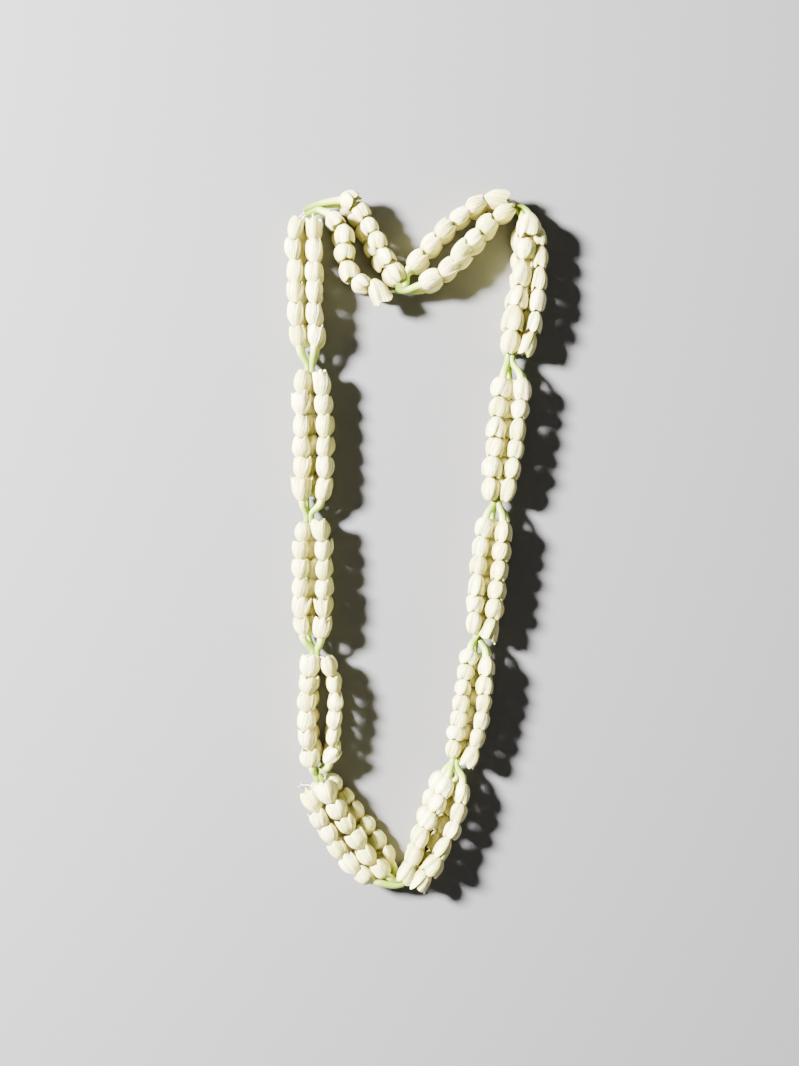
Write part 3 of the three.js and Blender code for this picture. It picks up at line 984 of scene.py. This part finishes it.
@dataclass
class BudCage:
    """The coarse mesh of one bud, about a pitch and a radius of one, which is rounded off later.

    The petal edges stand off less and less towards the base. The tip row follows the petals' points
    all the way, the shoulder row in part and the others not at all. A restless petal has a longer or
    shorter point, which curls out or in.
    """

    form: Form
    variant: int = 0
    thinning: float = 1.25
    least_lift: float = 0.1
    tipwards: tuple[float, float, float] = (1.0, 0.3, 0.0)
    uneven: float = 0.2
    longer: float = 0.5
    curlier: float = 0.04
    squash: float = 0.04
    lumps: float = 0.035
    lump_step: float = 0.7
    core_sides: int = 5
    core: tuple[tuple[float, float], ...] = ((-0.02, 0.12), (0.14, 0.34), (0.45, 0.40), (0.8, 0.2))
    vertices: list[tuple[float, float, float]] = field(default_factory=list)
    faces: list[tuple[int, ...]] = field(default_factory=list)
    notes: list[tuple[float, float, float]] = field(default_factory=list)

    @property
    def seed(self) -> int:
        """The number that this bud's draws start from."""
        return seed_of(self.variant, list(Form).index(self.form))

    def folds(self) -> list[tuple[float, Fold, int]]:
        """The lengthwise lines round the bud.

        Returns:
            For each line its angle, its fold and its petal's number.
        """
        furl = FURLS[self.form]
        edges = [(n + self.uneven * swing(self.seed + n + FOR_EDGE)) * 2 * math.pi / furl.petals
                 for n in range(furl.petals)]
        ends = [*edges[1:], edges[0] + 2 * math.pi]
        return [(start + fold.share * (end - start), fold, petal)
                for petal, (start, end) in enumerate(zip(edges, ends)) for fold in FOLDS]

    def add_ring(self, place: float, radius: float, tipward: float) -> None:
        """Adds one ring of the petals.

        Args:
            place: How far along the bud it is.
            radius: How far out.
            tipward: How much it belongs to the free petal tips: one at their very edge.
        """
        furl = FURLS[self.form]
        for angle, fold, petal in self.folds():
            loose = furl.unrest * swing(self.seed + petal + FOR_UNREST)
            reach = furl.tips * fold.reach * (1 + self.longer * loose)
            curl = (furl.curl + self.curlier * loose) * max(fold.reach, 0.0)
            lift = furl.lift * fold.lift * max(self.thinning - place, self.least_lift)
            turn = angle + math.radians(furl.twist) * (place - 0.5)
            lump = self.lumps * swing(self.seed + len(self.vertices) * self.lump_step)
            far = radius * (1 + lift + tipward * curl + lump)
            self.vertices.append((place - reach * tipward, far * math.cos(turn) * (1 + self.squash),
                                  far * math.sin(turn) * (1 - self.squash)))
            tone = draw(self.seed + petal + FOR_PETAL_TONE)
            self.notes.append((place - reach * tipward, fold.across, tone))

    def add_petals(self) -> None:
        """Adds the furled petals as one closed sheath, from inside its mouth to its base."""
        furl = FURLS[self.form]
        sides = furl.petals * len(FOLDS)
        start = len(self.vertices)
        for place, radius in reversed(furl.hollow):
            self.add_ring(place, radius, 0.0)
        for row, (place, radius) in enumerate(furl.rows):
            self.add_ring(place, radius, self.tipwards[min(row, 2)])
        self.close(start, sides)

    def add_core(self) -> None:
        """Adds the younger petals in the middle, as one closed body."""
        start = len(self.vertices)
        for place, radius in self.core:
            for side in range(self.core_sides):
                angle = 2 * math.pi * side / self.core_sides + place
                self.vertices.append((place, radius * math.cos(angle), radius * math.sin(angle)))
                self.notes.append((place, 0.0, 0.5))
        self.close(start, self.core_sides)

    def close(self, start: int, sides: int) -> None:
        """Joins rings of vertices side by side and closes both ends.

        Args:
            start: The first ring's first vertex.
            sides: The vertices in a ring.
        """
        count = len(self.vertices)
        for row in range(start, count - sides, sides):
            for side in range(sides):
                after = (side + 1) % sides
                self.faces.append((row + side, row + after, row + sides + after, row + sides + side))
        self.faces.append(tuple(reversed(range(start, start + sides))))
        self.faces.append(tuple(range(count - sides, count)))

    def build(self) -> bpy.types.Object:
        """Makes the bud.

        Returns:
            An object that is in no scene, for the strands to be made of.
        """
        self.add_petals()
        if FURLS[self.form].has_core:
            self.add_core()
        mesh = bpy.data.meshes.new(self.form.value)
        mesh.from_pydata(self.vertices, [], self.faces)
        found = np.array(self.notes)
        for column, name in enumerate(("petal_along", "petal_across", "petal_tone")):
            note(mesh, name, "FLOAT", found[:, column])
        return bpy.data.objects.new(f"{list(Form).index(self.form)}_{self.variant}_{self.form.value}", mesh)


@dataclass(frozen=True)
class Oddity:
    """A bud that isn't like the others of its strand.

    Its turn is about the upright and its roll about its own length, both in degrees. Its shift is
    ahead along the strand, to the left of it and up.
    """

    form: Form
    turn: float = 0.0
    roll: float = 0.0
    girth: float = 1.0
    shift: tuple[float, float, float] = (0.0, 0.0, 0.0)


ODDITIES = {
    ("top_1", Role.INNER_UPPER, 0): Oddity(Form.HALF_OPEN, turn=-42.0, roll=20.0, girth=1.05),
    ("top_1", Role.INNER_UPPER, 3): Oddity(Form.EGG, girth=1.1, shift=(0.0, -1.0, 0.0)),
    ("top_1", Role.INNER_UPPER, 4): Oddity(Form.TULIP, roll=40.0, girth=1.04, shift=(0.0, -2.2, 0.0)),
    ("top_1", Role.OUTER_UPPER, 5): Oddity(Form.LOOSE, turn=-22.0, roll=110.0, girth=1.12,
                                           shift=(0.0, -1.2, 0.0)),
    ("right_5", Role.OUTER_UPPER, 0): Oddity(Form.LOOSE, turn=16.0, roll=25.0, girth=1.08),
    ("right_5", Role.OUTER_UPPER, 1): Oddity(Form.LOOSE, turn=-6.0, roll=60.0, girth=1.24),
    ("right_2", Role.INNER_UPPER, 5): Oddity(Form.LAST, roll=15.0, girth=1.06),
    ("right_1", Role.INNER_UPPER, 1): Oddity(Form.LOOSE, roll=140.0, girth=1.12,
                                             shift=(0.0, 0.6, 0.8)),
    ("top_2", Role.INNER_UPPER, 3): Oddity(Form.LOOSE, roll=100.0, girth=1.08),
    ("top_2", Role.OUTER_UPPER, 0): Oddity(Form.LOOSE, turn=-8.0, roll=150.0, girth=1.1),
    ("right_3", Role.OUTER_UPPER, 0): Oddity(Form.HALF_OPEN, roll=50.0, girth=0.98),
    ("right_1", Role.OUTER_UPPER, 5): Oddity(Form.EGG, roll=75.0, shift=(0.0, 0.0, -0.6)),
    ("right_1", Role.INNER_UPPER, 4): Oddity(Form.EGG, roll=30.0, girth=1.02, shift=(2.4, -0.6, 1.4)),
    ("right_1", Role.INNER_UPPER, 5): Oddity(Form.LOOSE, roll=10.0, girth=1.12, turn=-4.0,
                                             shift=(3.0, -3.6, 1.8)),
    ("left_2", Role.OUTER_UPPER, 5): Oddity(Form.HALF_OPEN, roll=35.0, girth=1.08),
    ("left_3", Role.INNER_UPPER, 4): Oddity(Form.LOOSE, turn=9.0, roll=70.0, girth=1.06,
                                            shift=(0.0, 0.8, 0.0)),
    ("left_3", Role.OUTER_UPPER, 4): Oddity(Form.LOOSE, turn=-8.0, roll=200.0),
    ("left_4", Role.INNER_UPPER, 5): Oddity(Form.EGG, turn=-30.0, roll=50.0, shift=(0.8, 0.0, 0.0)),
    ("left_4", Role.OUTER_UPPER, 0): Oddity(Form.BARREL, roll=20.0, girth=1.06),
    ("left_5", Role.INNER_UPPER, 0): Oddity(Form.TULIP, roll=90.0, girth=1.12),
    ("left_5", Role.OUTER_UPPER, 0): Oddity(Form.TULIP, turn=10.0, roll=15.0, girth=0.98),
    ("left_2", Role.INNER_UPPER, 0): Oddity(Form.EGG, roll=40.0, girth=1.02),
}


# What each point of a strand tells the tree about its bud.
POINT_NOTES = {
    "ahead": "FLOAT_VECTOR", "above": "FLOAT_VECTOR", "size": "FLOAT_VECTOR", "form": "INT",
    "bud": "INT", "tone": "FLOAT", "roll": "FLOAT", "free": "FLOAT"}


@dataclass
class BudStrands:
    """All the buds of the lei, bunch by bunch.

    Slack is the share of a bunch's buds whose petals are loose, and most of those are tulips. A build
    is the girth of the outer or the inner buds of a bunch beside the usual. A strand's first bud
    reaches past where the strand starts, by the nose reach. Lower buds are thicker and less slack.
    Settled strands lie that far to the left and up. A nook is what other buds, or the surface below,
    shut off, and it is painted into the petals as golden shade.
    """

    layout: Layout
    finish: PetalFinish = PetalFinish()
    radius: float = 4.7
    variation: float = 0.07
    pitch_variation: float = 0.05
    variants: int = 4
    level: int = 2
    tilt: float = 8.0
    sway: float = 0.4
    under_girth: float = 1.08
    under_slack: float = 0.4
    usual_nose_reach: float = 1.3
    tulips: float = 0.8
    # How strongly nearby buds and the floor darken the petals with painted shade, and the height in
    # millimetres over which the floor's painted shade fades.
    nook_of_buds: float = 0.8
    nook_of_floor: float = 0.6
    floor_shade: float = 6.0
    seed: int = 7
    slack: dict[str, float] = field(default_factory=lambda: {
        "left_1": 0.45, "left_2": 0.3, "left_3": 0.35, "left_4": 0.3, "left_5": 0.62, "right_5": 0.35,
        "right_4": 0.35, "right_3": 0.12, "right_2": 0.15, "right_1": 0.4, "top_2": 0.15, "top_1": 0.4})
    build_of: dict[tuple[str, bool], float] = field(default_factory=lambda: {
        ("left_1", True): 0.98, ("left_1", False): 0.95, ("left_2", False): 1.05,
        ("left_4", True): 0.87, ("left_4", False): 1.08, ("left_5", True): 1.12,
        ("left_5", False): 1.1, ("right_5", True): 1.04, ("right_4", False): 0.95,
        ("right_3", True): 1.03, ("right_3", False): 1.03, ("right_2", True): 1.16,
        ("right_2", False): 0.97, ("right_1", True): 1.13, ("right_1", False): 0.94,
        ("top_2", True): 1.06, ("top_1", True): 1.08, ("top_1", False): 1.05})
    nose_reach: dict[str, float] = field(default_factory=lambda: {
        "left_1": 0.3, "left_3": 0.0, "right_2": 1.8, "top_1": 2.4})
    settled: dict[tuple[str, Role], tuple[float, float]] = field(default_factory=lambda: {
        ("left_1", Role.OUTER_LOWER): (2.5, 2.2), ("left_2", Role.OUTER_LOWER): (2.5, 2.2),
        ("left_3", Role.OUTER_LOWER): (2.5, 2.2), ("right_1", Role.OUTER_LOWER): (2.5, 2.2),
        ("right_4", Role.OUTER_LOWER): (2.6, 0.6), ("right_4", Role.INNER_LOWER): (-1.0, 2.0),
        ("right_3", Role.OUTER_LOWER): (2.6, 0.6), ("right_3", Role.INNER_LOWER): (-1.0, 2.0),
        ("right_2", Role.OUTER_LOWER): (2.0, 0.4), ("right_2", Role.INNER_LOWER): (-1.6, 2.0),
        ("top_2", Role.INNER_LOWER): (-2.0, 0.4)})

    def __post_init__(self) -> None:
        """Makes the bud forms and the tree that threads them."""
        self.forms = bpy.data.collections.new("bud_forms")
        for form in Form:
            for variant in range(self.variants):
                self.forms.objects.link(BudCage(form, variant).build())
        self.tree = self.make_tree()

    @staticmethod
    def make_tree() -> Growth:
        """Makes the tree that puts a bud on each point of a strand.

        Returns:
            The tree, whose points carry the attributes of POINT_NOTES.
        """
        tree = Growth("threaded_buds", {
            "Bud forms": "NodeSocketCollection", "Roundness": "NodeSocketInt", "Tilt": "NodeSocketFloat",
            "Seed": "NodeSocketInt", "Material": "NodeSocketMaterial"})
        buds = tree.node("GeometryNodeCollectionInfo", {}, {
            "Collection": tree.given("Bud forms"), "Separate Children": True, "Reset Children": True})
        lying = tree.node("FunctionNodeAxesToRotation", {"primary_axis": "X", "secondary_axis": "Z"}, {
            "Primary Axis": tree.named("ahead", "FLOAT_VECTOR"),
            "Secondary Axis": tree.named("above", "FLOAT_VECTOR")})
        free = tree.random(-math.pi, math.pi, tree.given("Seed"))
        sway = tree.random(-1.0, 1.0, tree.given("Seed") + 1)
        roll = tree.named("roll", "FLOAT") + tree.named("free", "FLOAT") * free
        euler = tree.node("ShaderNodeCombineXYZ", {}, {"X": roll, "Y": sway * tree.given("Tilt")})
        turned = tree.node("FunctionNodeRotateRotation", {"rotation_space": "LOCAL"}, {
            "Rotation": lying,
            "Rotate By": tree.node("FunctionNodeEulerToRotation", {}, {"Euler": euler})})
        placed = tree.node("GeometryNodeInstanceOnPoints", {}, {
            "Points": tree.given("Geometry"), "Instance": buds, "Pick Instance": True,
            "Instance Index": tree.named("form", "INT"), "Rotation": turned,
            "Scale": tree.named("size", "FLOAT_VECTOR")})
        real = tree.node("GeometryNodeRealizeInstances", {}, {"Geometry": placed})
        rounded = tree.node("GeometryNodeSubdivisionSurface", {},
                            {"Mesh": real, "Level": tree.given("Roundness")})
        tree.finish(rounded)
        return tree

    def form_of(self, name: str, role: Role, bud: int, seed: int, buds: int) -> Form:
        """The form of an ordinary bud.

        Args:
            name: Its bunch.
            role: Its strand.
            bud: Its place in the strand.
            seed: The number that its draws start from.
            buds: How many buds the strand has.

        Returns:
            The form.
        """
        chance, slack = draw(seed + FOR_FORM), self.slack[name]
        slack *= 1.0 if role.is_upper else self.under_slack
        if bud == 0 and chance > slack:
            return Form.FIRST
        if bud == buds - 1 and chance > slack:
            return Form.LAST
        if chance < slack:
            return Form.TULIP if chance < self.tulips * slack else Form.LOOSE
        furled = (Form.EGG, Form.BARREL, Form.PEAR, Form.EGG)
        return furled[int(len(furled) * draw(seed + FOR_FURL))]

    def points(self, number: int) -> dict[str, list[Any]]:
        """Where the buds of a bunch lie and how each one is made.

        Args:
            number: The bunch.

        Returns:
            For each attribute of the strand's points, a value a bud.
        """
        found: dict[str, list[Any]] = {key: [] for key in ("place", "middle", *POINT_NOTES)}
        bunch = BUNCHES[number]
        for role in Role:
            route = self.layout.route(number, role)
            buds = self.layout.buds + ((bunch.name, role) == self.layout.fuller)
            seed = seed_of(number, role.place)
            starts = [(n + self.pitch_variation * swing(seed + n) * (n > 0)) / buds for n in range(buds)]
            nose_reach = self.usual_nose_reach
            if role.is_upper:
                nose_reach = self.nose_reach.get(bunch.name, nose_reach)
            starts[0] -= nose_reach / route.length
            ends = route.at([*starts, 1.0])
            for bud, (start, end) in enumerate(zip(ends, ends[1:])):
                plain = Oddity(self.form_of(bunch.name, role, bud, seed + bud, buds))
                odd = ODDITIES.get((bunch.name, role, bud), plain)
                ahead = end - start
                girth = self.radius * (1 + self.variation * swing(seed + bud + FOR_GIRTH))
                girth *= odd.girth * self.build_of.get((bunch.name, role.is_inner), 1.0)
                girth *= 1.0 if role.is_upper else self.under_girth
                turned = turned_about(UP, ahead, odd.turn)
                along, left = unit(ahead), unit(np.cross(UP, ahead))
                moved = along * odd.shift[0] + left * odd.shift[1] + UP * odd.shift[2]
                moved += left * self.sway * swing(seed + bud + FOR_SWAY)
                settled = self.settled.get((bunch.name, role), (0.0, 0.0))
                moved += left * settled[0] + UP * settled[1]
                found["place"].append((start + end - turned) / 2 + moved)
                found["ahead"].append(unit(turned))
                found["above"].append(UP)
                found["size"].append(np.array([np.linalg.norm(ahead), girth, girth]) * MM)
                form = list(Form).index(odd.form)
                variant = int(self.variants * draw(seed + bud + FOR_VARIANT))
                found["form"].append(form * self.variants + variant)
                found["bud"].append(len(found["bud"]))
                found["tone"].append(draw(seed + bud + FOR_TONE))
                found["roll"].append(math.radians(odd.roll))
                found["free"].append(float(odd is plain))
                found["middle"].append((start + end) / 2)
        return found

    @staticmethod
    def press(mesh: bpy.types.Mesh) -> None:
        """Flattens what would lie lower than the surface that the lei rests on.

        Args:
            mesh: The buds of one bunch, in metres.
        """
        places = np.empty(len(mesh.vertices) * 3)
        mesh.vertices.foreach_get("co", places)
        places[2::3] = np.maximum(places[2::3], 0.0)
        mesh.vertices.foreach_set("co", places)
        mesh.update()

    def nooks(self, mesh: bpy.types.Mesh, own: np.ndarray, others: np.ndarray) -> np.ndarray:
        """How much of each vertex's outlook is shut off, by other buds and by the surface: the share of
        painted golden shade in its colour.

        Args:
            mesh: The buds of one bunch, each vertex with the number of its bud.
            own: The middles of those buds.
            others: The middles of the buds in the bunches before and after.

        Returns:
            A share from 0 to 1 for each vertex.
        """
        count = len(mesh.vertices)
        places, normals, buds = np.empty(count * 3), np.empty(count * 3), np.empty(count, int)
        mesh.vertices.foreach_get("co", places)
        mesh.vertex_normals.foreach_get("vector", normals)
        mesh.attributes["bud"].data.foreach_get("value", buds)
        places, normals = places.reshape(-1, 3) / MM, normals.reshape(-1, 3)
        shut = np.zeros(count)
        for number, middle in enumerate(np.vstack([own, others])):
            towards = middle - places
            apart = np.linalg.norm(towards, axis=1)
            facing = np.einsum("ij,ij->i", towards, normals) / apart
            near = (self.radius / np.maximum(apart, self.radius)) ** 2
            shut += np.where(buds == number, 0, np.clip(facing, 0, 1) * near)
        # Painted shade on the undersides near the floor, fading with height.
        floor = np.clip(-normals[:, 2], 0, 1) * np.exp(-places[:, 2] / self.floor_shade)
        return np.clip(shut * self.nook_of_buds + floor * self.nook_of_floor, 0, 1)

    def build(self) -> None:
        """Makes the buds of every bunch."""
        strands = [self.points(number) for number in range(len(BUNCHES))]
        for number, bunch in enumerate(BUNCHES):
            found = strands[number]
            seedling = seedling_of("strand_points", np.array(found["place"]))
            for name, kind in POINT_NOTES.items():
                note(seedling.data, name, kind, np.array(found[name]))
            mesh = self.tree.grow(seedling, {
                "Bud forms": self.forms, "Roundness": self.level, "Tilt": math.radians(self.tilt),
                "Seed": self.seed + seed_of(0, number), "Material": self.finish.material()})
            beside = [strands[n % len(BUNCHES)]["middle"] for n in (number - 1, number + 1)]
            # The share of painted shade of each vertex, which the petal finish reads.
            note(mesh, "nook", "FLOAT", self.nooks(mesh, np.array(found["middle"]), np.vstack(beside)))
            for name in POINT_NOTES:
                if name != "tone":
                    mesh.attributes.remove(mesh.attributes[name])
            self.press(mesh)
            nodes = sorted(n for n in frame["nodes"] if n.startswith(bunch.name) and n.endswith("_buds"))
            piece(f"{bunch.name}_jasmine", mesh, nodes)
        for form in list(self.forms.objects):
            bpy.data.objects.remove(form)
        bpy.data.collections.remove(self.forms)


# ---- the tubes and the thread ----------------------------------------------------------------


def make_stem_tree() -> Growth:
    """Makes the tree that puts a round section along a line.

    Returns:
        The tree, whose points carry their girth.
    """
    tree = Growth("stems", {
        "Sides": "NodeSocketInt", "Plies": "NodeSocketFloat", "Material": "NodeSocketMaterial"})
    line = tree.node("GeometryNodeMeshToCurve", {}, {"Mesh": tree.given("Geometry")})
    share = tree.node("GeometryNodeSplineParameter", {}, {}, "Factor")
    length = tree.node("GeometryNodeSplineParameter", {}, {}, "Length")
    marked = tree.stored(line, "tube_along", share)
    marked = tree.stored(marked, "twist", length * tree.given("Plies"))
    girth = tree.named("girth", "FLOAT")
    thick = tree.node("GeometryNodeSetCurveRadius", {}, {"Curve": marked, "Radius": girth})
    ring = tree.node("GeometryNodeCurvePrimitiveCircle", {"mode": "RADIUS"},
                     {"Resolution": tree.given("Sides"), "Radius": 1.0})
    stem = tree.node("GeometryNodeCurveToMesh", {}, {
        "Curve": thick, "Profile Curve": ring, "Scale": girth, "Fill Caps": True})
    tree.finish(stem)
    return tree


@dataclass
class Stems:
    """Round stems along lines: the corolla tubes and the thread.

    A tube starts sunk in its bud's base, leaves it and reaches the gathering with the same ease, a
    share of the way between them, and goes on past it. The knot is a trefoil. A fibre of a frayed
    tail starts inside the tail. Its two other places are that far on from the tip, the last one up
    to a millimetre more, and that much astray.
    """

    layout: Layout
    tree: Growth
    tube_finish: TubeFinish = TubeFinish()
    thread_finish: ThreadFinish = ThreadFinish()
    tube_girths: tuple[float, ...] = (2.15, 1.98, 1.9, 1.86, 1.76, 1.55)
    tube_sides: int = 14
    tube_steps: int = 12
    tube_ease: float = 0.25
    sunk: float = 0.9
    past: float = 2.4
    past_at: dict[str, float] = field(default_factory=lambda: {"left_1": 5.2})
    thread_radius: float = 0.42
    thread_sides: int = 8
    thread_places: int = 7
    plies: float = 2600.0
    knot_radius: float = 0.85
    knot_shape: tuple[float, float] = (2.4, 1.6)
    knot_steps: int = 72
    thinning: tuple[float, float] = (0.8, 0.4)
    fibre_radius: float = 0.1
    fibres: int = 3
    fibre_on: tuple[float, float] = (0.8, 1.2)
    fibre_astray: tuple[float, float] = (0.5, 1.5)
    fray: tuple[float, float, float] = (0.9, 0.9, 0.54)
    run_samples: int = 6
    tail_samples: int = 10
    fibre_samples: int = 5
    tails: tuple[tuple[tuple[float, float, float], ...], ...] = (
        ((0, 0, 0), (1.2, -4.2, 0.4), (-1.6, -8.0, -2.2), (-3.4, -11.5, -6.4)),
        ((0, 0, 0), (0.6, 2.8, 2.6), (-2.2, 4.0, 4.6), (-6.8, 3.4, 4.4)),
    )

    def grown(self, name: str, lines: Sequence[tuple[np.ndarray, np.ndarray]], sides: int,
              material: bpy.types.Material) -> bpy.types.Mesh:
        """Makes stems along lines.

        Args:
            name: What the lines are.
            lines: Each line's places and how thick the stem is there.
            sides: The number of sides of a section.
            material: The finish.

        Returns:
            The mesh.
        """
        edges, count = [], 0
        for places, _ in lines:
            edges += [(n, n + 1) for n in range(count, count + len(places) - 1)]
            count += len(places)
        seedling = seedling_of(name, np.vstack([places for places, _ in lines]), edges)
        note(seedling.data, "girth", "FLOAT", np.concatenate([girths for _, girths in lines]) * MM)
        return self.tree.grow(seedling, {"Sides": sides, "Plies": self.plies, "Material": material})

    def tube_line(self, number: int, role: Role) -> tuple[np.ndarray, np.ndarray]:
        """The line of one tube, from inside its bud's base to just past the gathering.

        Args:
            number: Its bunch.
            role: Its strand.

        Returns:
            Its places and how thick it is at each.
        """
        following = (number + 1) % len(BUNCHES)
        route = self.layout.route(number, role)
        base, leaving = route.at([1.0])[0], route.heading(1.0)
        gathered = self.layout.gathering(following, role)
        onward = self.layout.gathered_heading(following)
        ease = float(np.linalg.norm(gathered - base)) * self.tube_ease
        past = self.past_at.get(BUNCHES[following].name, self.past)
        places = np.array([
            base - leaving * self.sunk, base + leaving * ease, gathered - onward * ease,
            gathered + onward * past])
        shares = np.linspace(0, 1, self.tube_steps)
        girths = np.interp(shares, np.linspace(0, 1, len(self.tube_girths)), self.tube_girths)
        return Route(places).at(shares), girths

    def build_tubes(self) -> None:
        """Makes the four tubes of each bunch."""
        for number, bunch in enumerate(BUNCHES):
            lines = [self.tube_line(number, role) for role in Role]
            mesh = self.grown("tube_lines", lines, self.tube_sides, self.tube_finish.material())
            piece(f"{bunch.name}_corolla_tubes", mesh, [f"{bunch.name}_tubes"])

    def run(self, role: Role) -> tuple[np.ndarray, np.ndarray]:
        """The line of a run of thread, from the knot round to the knot.

        Args:
            role: The strands that it goes through.

        Returns:
            Its places and how thick it is at each.
        """
        places = [self.layout.knot]
        for step in range(len(BUNCHES)):
            number = (self.layout.knot_bunch + step) % len(BUNCHES)
            following = (number + 1) % len(BUNCHES)
            places += list(self.layout.route(number, role).at(np.linspace(0, 1, self.thread_places)))
            places.append(self.layout.gathering(following, role))
        places.append(self.layout.knot)
        line = Route(np.array(places), self.run_samples).line
        return line, np.full(len(line), self.thread_radius)

    def knot_line(self) -> tuple[np.ndarray, np.ndarray]:
        """The turns of the knot: a trefoil, which passes over and under itself.

        Returns:
            Its places and how thick it is at each.
        """
        turn = np.linspace(0, 2 * math.pi, self.knot_steps)
        width, height = self.knot_shape
        turns = np.stack([np.sin(turn) + 2 * np.sin(2 * turn), np.cos(turn) - 2 * np.cos(2 * turn),
                          -height * np.sin(3 * turn)], axis=1)
        line = self.layout.knot + turns * self.knot_radius / width
        return line, np.full(len(line), self.thread_radius)

    def tail_lines(self, number: int, places: np.ndarray) -> list[tuple[np.ndarray, np.ndarray]]:
        """A trimmed end of the thread, and the fibres into which it frays.

        Args:
            number: Which of the tails it is.
            places: The places that it goes through.

        Returns:
            The line of the tail and of each fibre, with its thickness.
        """
        line = Route(places, self.tail_samples).line
        found = [(line, self.thread_radius * np.linspace(*self.thinning, len(line)))]
        tip, onward = line[-1], unit(line[-1] - line[-4])
        for fibre in range(self.fibres):
            seed = seed_of(0, number, fibre)
            astray = np.array([swing(seed), swing(seed + FOR_ASIDE), swing(seed + FOR_RISE)]) * self.fray
            near, far = self.fibre_on[0], self.fibre_on[1] + draw(seed)
            ways = np.array([line[-3], tip + onward * near + astray * self.fibre_astray[0],
                             tip + onward * far + astray * self.fibre_astray[1]])
            frayed = Route(ways, self.fibre_samples).line
            found.append((frayed, np.full(len(frayed), self.fibre_radius)))
        return found

    def build_thread(self) -> None:
        """Makes the thread, its knot and its tails."""
        ahead = self.layout.heading(self.layout.knot_bunch)
        inward = self.layout.inward(self.layout.knot_bunch)
        lines = [self.run(role) for role in Role]
        lines.append(self.knot_line())
        for number, tail in enumerate(self.tails):
            places = [self.layout.knot + ahead * a + inward * b + UP * c for a, b, c in tail]
            lines += self.tail_lines(number, np.array(places))
        mesh = self.grown("thread_lines", lines, self.thread_sides, self.thread_finish.material())
        piece("cotton_thread", mesh, ["thread"])


# ---- the studio ------------------------------------------------------------------------------


@dataclass(frozen=True)
class Lamp:
    """A round light that faces the middle of the lei, in metres and watts."""

    name: str
    place: tuple[float, float, float]
    size: float
    power: float
    colour: tuple[float, float, float]

    def build(self) -> None:
        """Hangs the light."""
        data = bpy.data.lights.new(self.name, "AREA")
        data.shape, data.size = "DISK", self.size
        data.energy, data.color = self.power, self.colour
        made = in_scene(self.name, data)
        made.location = self.place
        made.rotation_euler = (-Vector(self.place)).to_track_quat("-Z", "Y").to_euler()


@dataclass
class Studio:
    """A plain floor, soft light from the upper left and the camera straight above.

    The floor and what the camera's clipping spans are in metres.
    """

    image: tuple[int, int] = (799, 1066)
    millimetres_a_pixel: float = 0.55
    middle: tuple[float, float] = (-9.4, 3.7)
    bud_plane: float = 11.0
    lens: float = 50.0
    sensor: float = 36.0
    clip: tuple[float, float] = (0.01, 20.0)
    floor_size: float = 4.0
    floor_finish: FloorFinish = FloorFinish()
    lamps: tuple[Lamp, ...] = (
        Lamp("main_light", (-1.35, 0.5, 1.0), 0.34, 540.0, (1.0, 0.985, 0.94)),
        Lamp("fill_light", (0.9, -0.7, 1.5), 1.6, 2.0, (1.0, 0.97, 0.9)),
    )
    surrounding: tuple[float, float, float, float] = (1.0, 0.97, 0.88, 1.0)
    surrounding_strength: float = 0.16

    def build_camera(self) -> None:
        """Looks straight down, with the photograph's frame at the height of the buds."""
        seen = self.image[1] * self.millimetres_a_pixel
        away = seen / 2 / (self.sensor / 2 / self.lens)
        data = bpy.data.cameras.new("camera")
        data.lens, data.sensor_width = self.lens, self.sensor
        data.clip_start, data.clip_end = self.clip
        made = in_scene("camera", data)
        made.location = (self.middle[0] * MM, self.middle[1] * MM, (away + self.bud_plane) * MM)
        bpy.context.scene.camera = made

    def build_floor(self) -> None:
        """Lays the plain floor."""
        half = self.floor_size / 2
        mesh = bpy.data.meshes.new("floor")
        mesh.from_pydata([(-half, -half, 0), (half, -half, 0), (half, half, 0), (-half, half, 0)], [],
                         [(0, 1, 2, 3)])
        made = in_scene("floor", mesh)
        mesh.materials.append(self.floor_finish.material())

    def build_surrounding(self) -> None:
        """Makes what is round the studio, which is pale and even."""
        world = bpy.data.worlds.new("surrounding")
        world.use_nodes = True
        back = world.node_tree.nodes["Background"]
        back.inputs["Color"].default_value = self.surrounding
        back.inputs["Strength"].default_value = self.surrounding_strength
        bpy.context.scene.world = world

    def build(self) -> None:
        """Makes the camera, the floor, the lights and what is round them."""
        self.build_camera()
        self.build_floor()
        for lamp in self.lamps:
            lamp.build()
        self.build_surrounding()


def main() -> None:
    """Builds the studio and the lei, piece by piece."""
    logging.basicConfig(level=logging.INFO, format="%(message)s")
    Studio().build()
    layout = Layout()
    BudStrands(layout).build()
    stems = Stems(layout, make_stem_tree())
    stems.build_tubes()
    stems.build_thread()


if __name__ == "__main__":
    main()
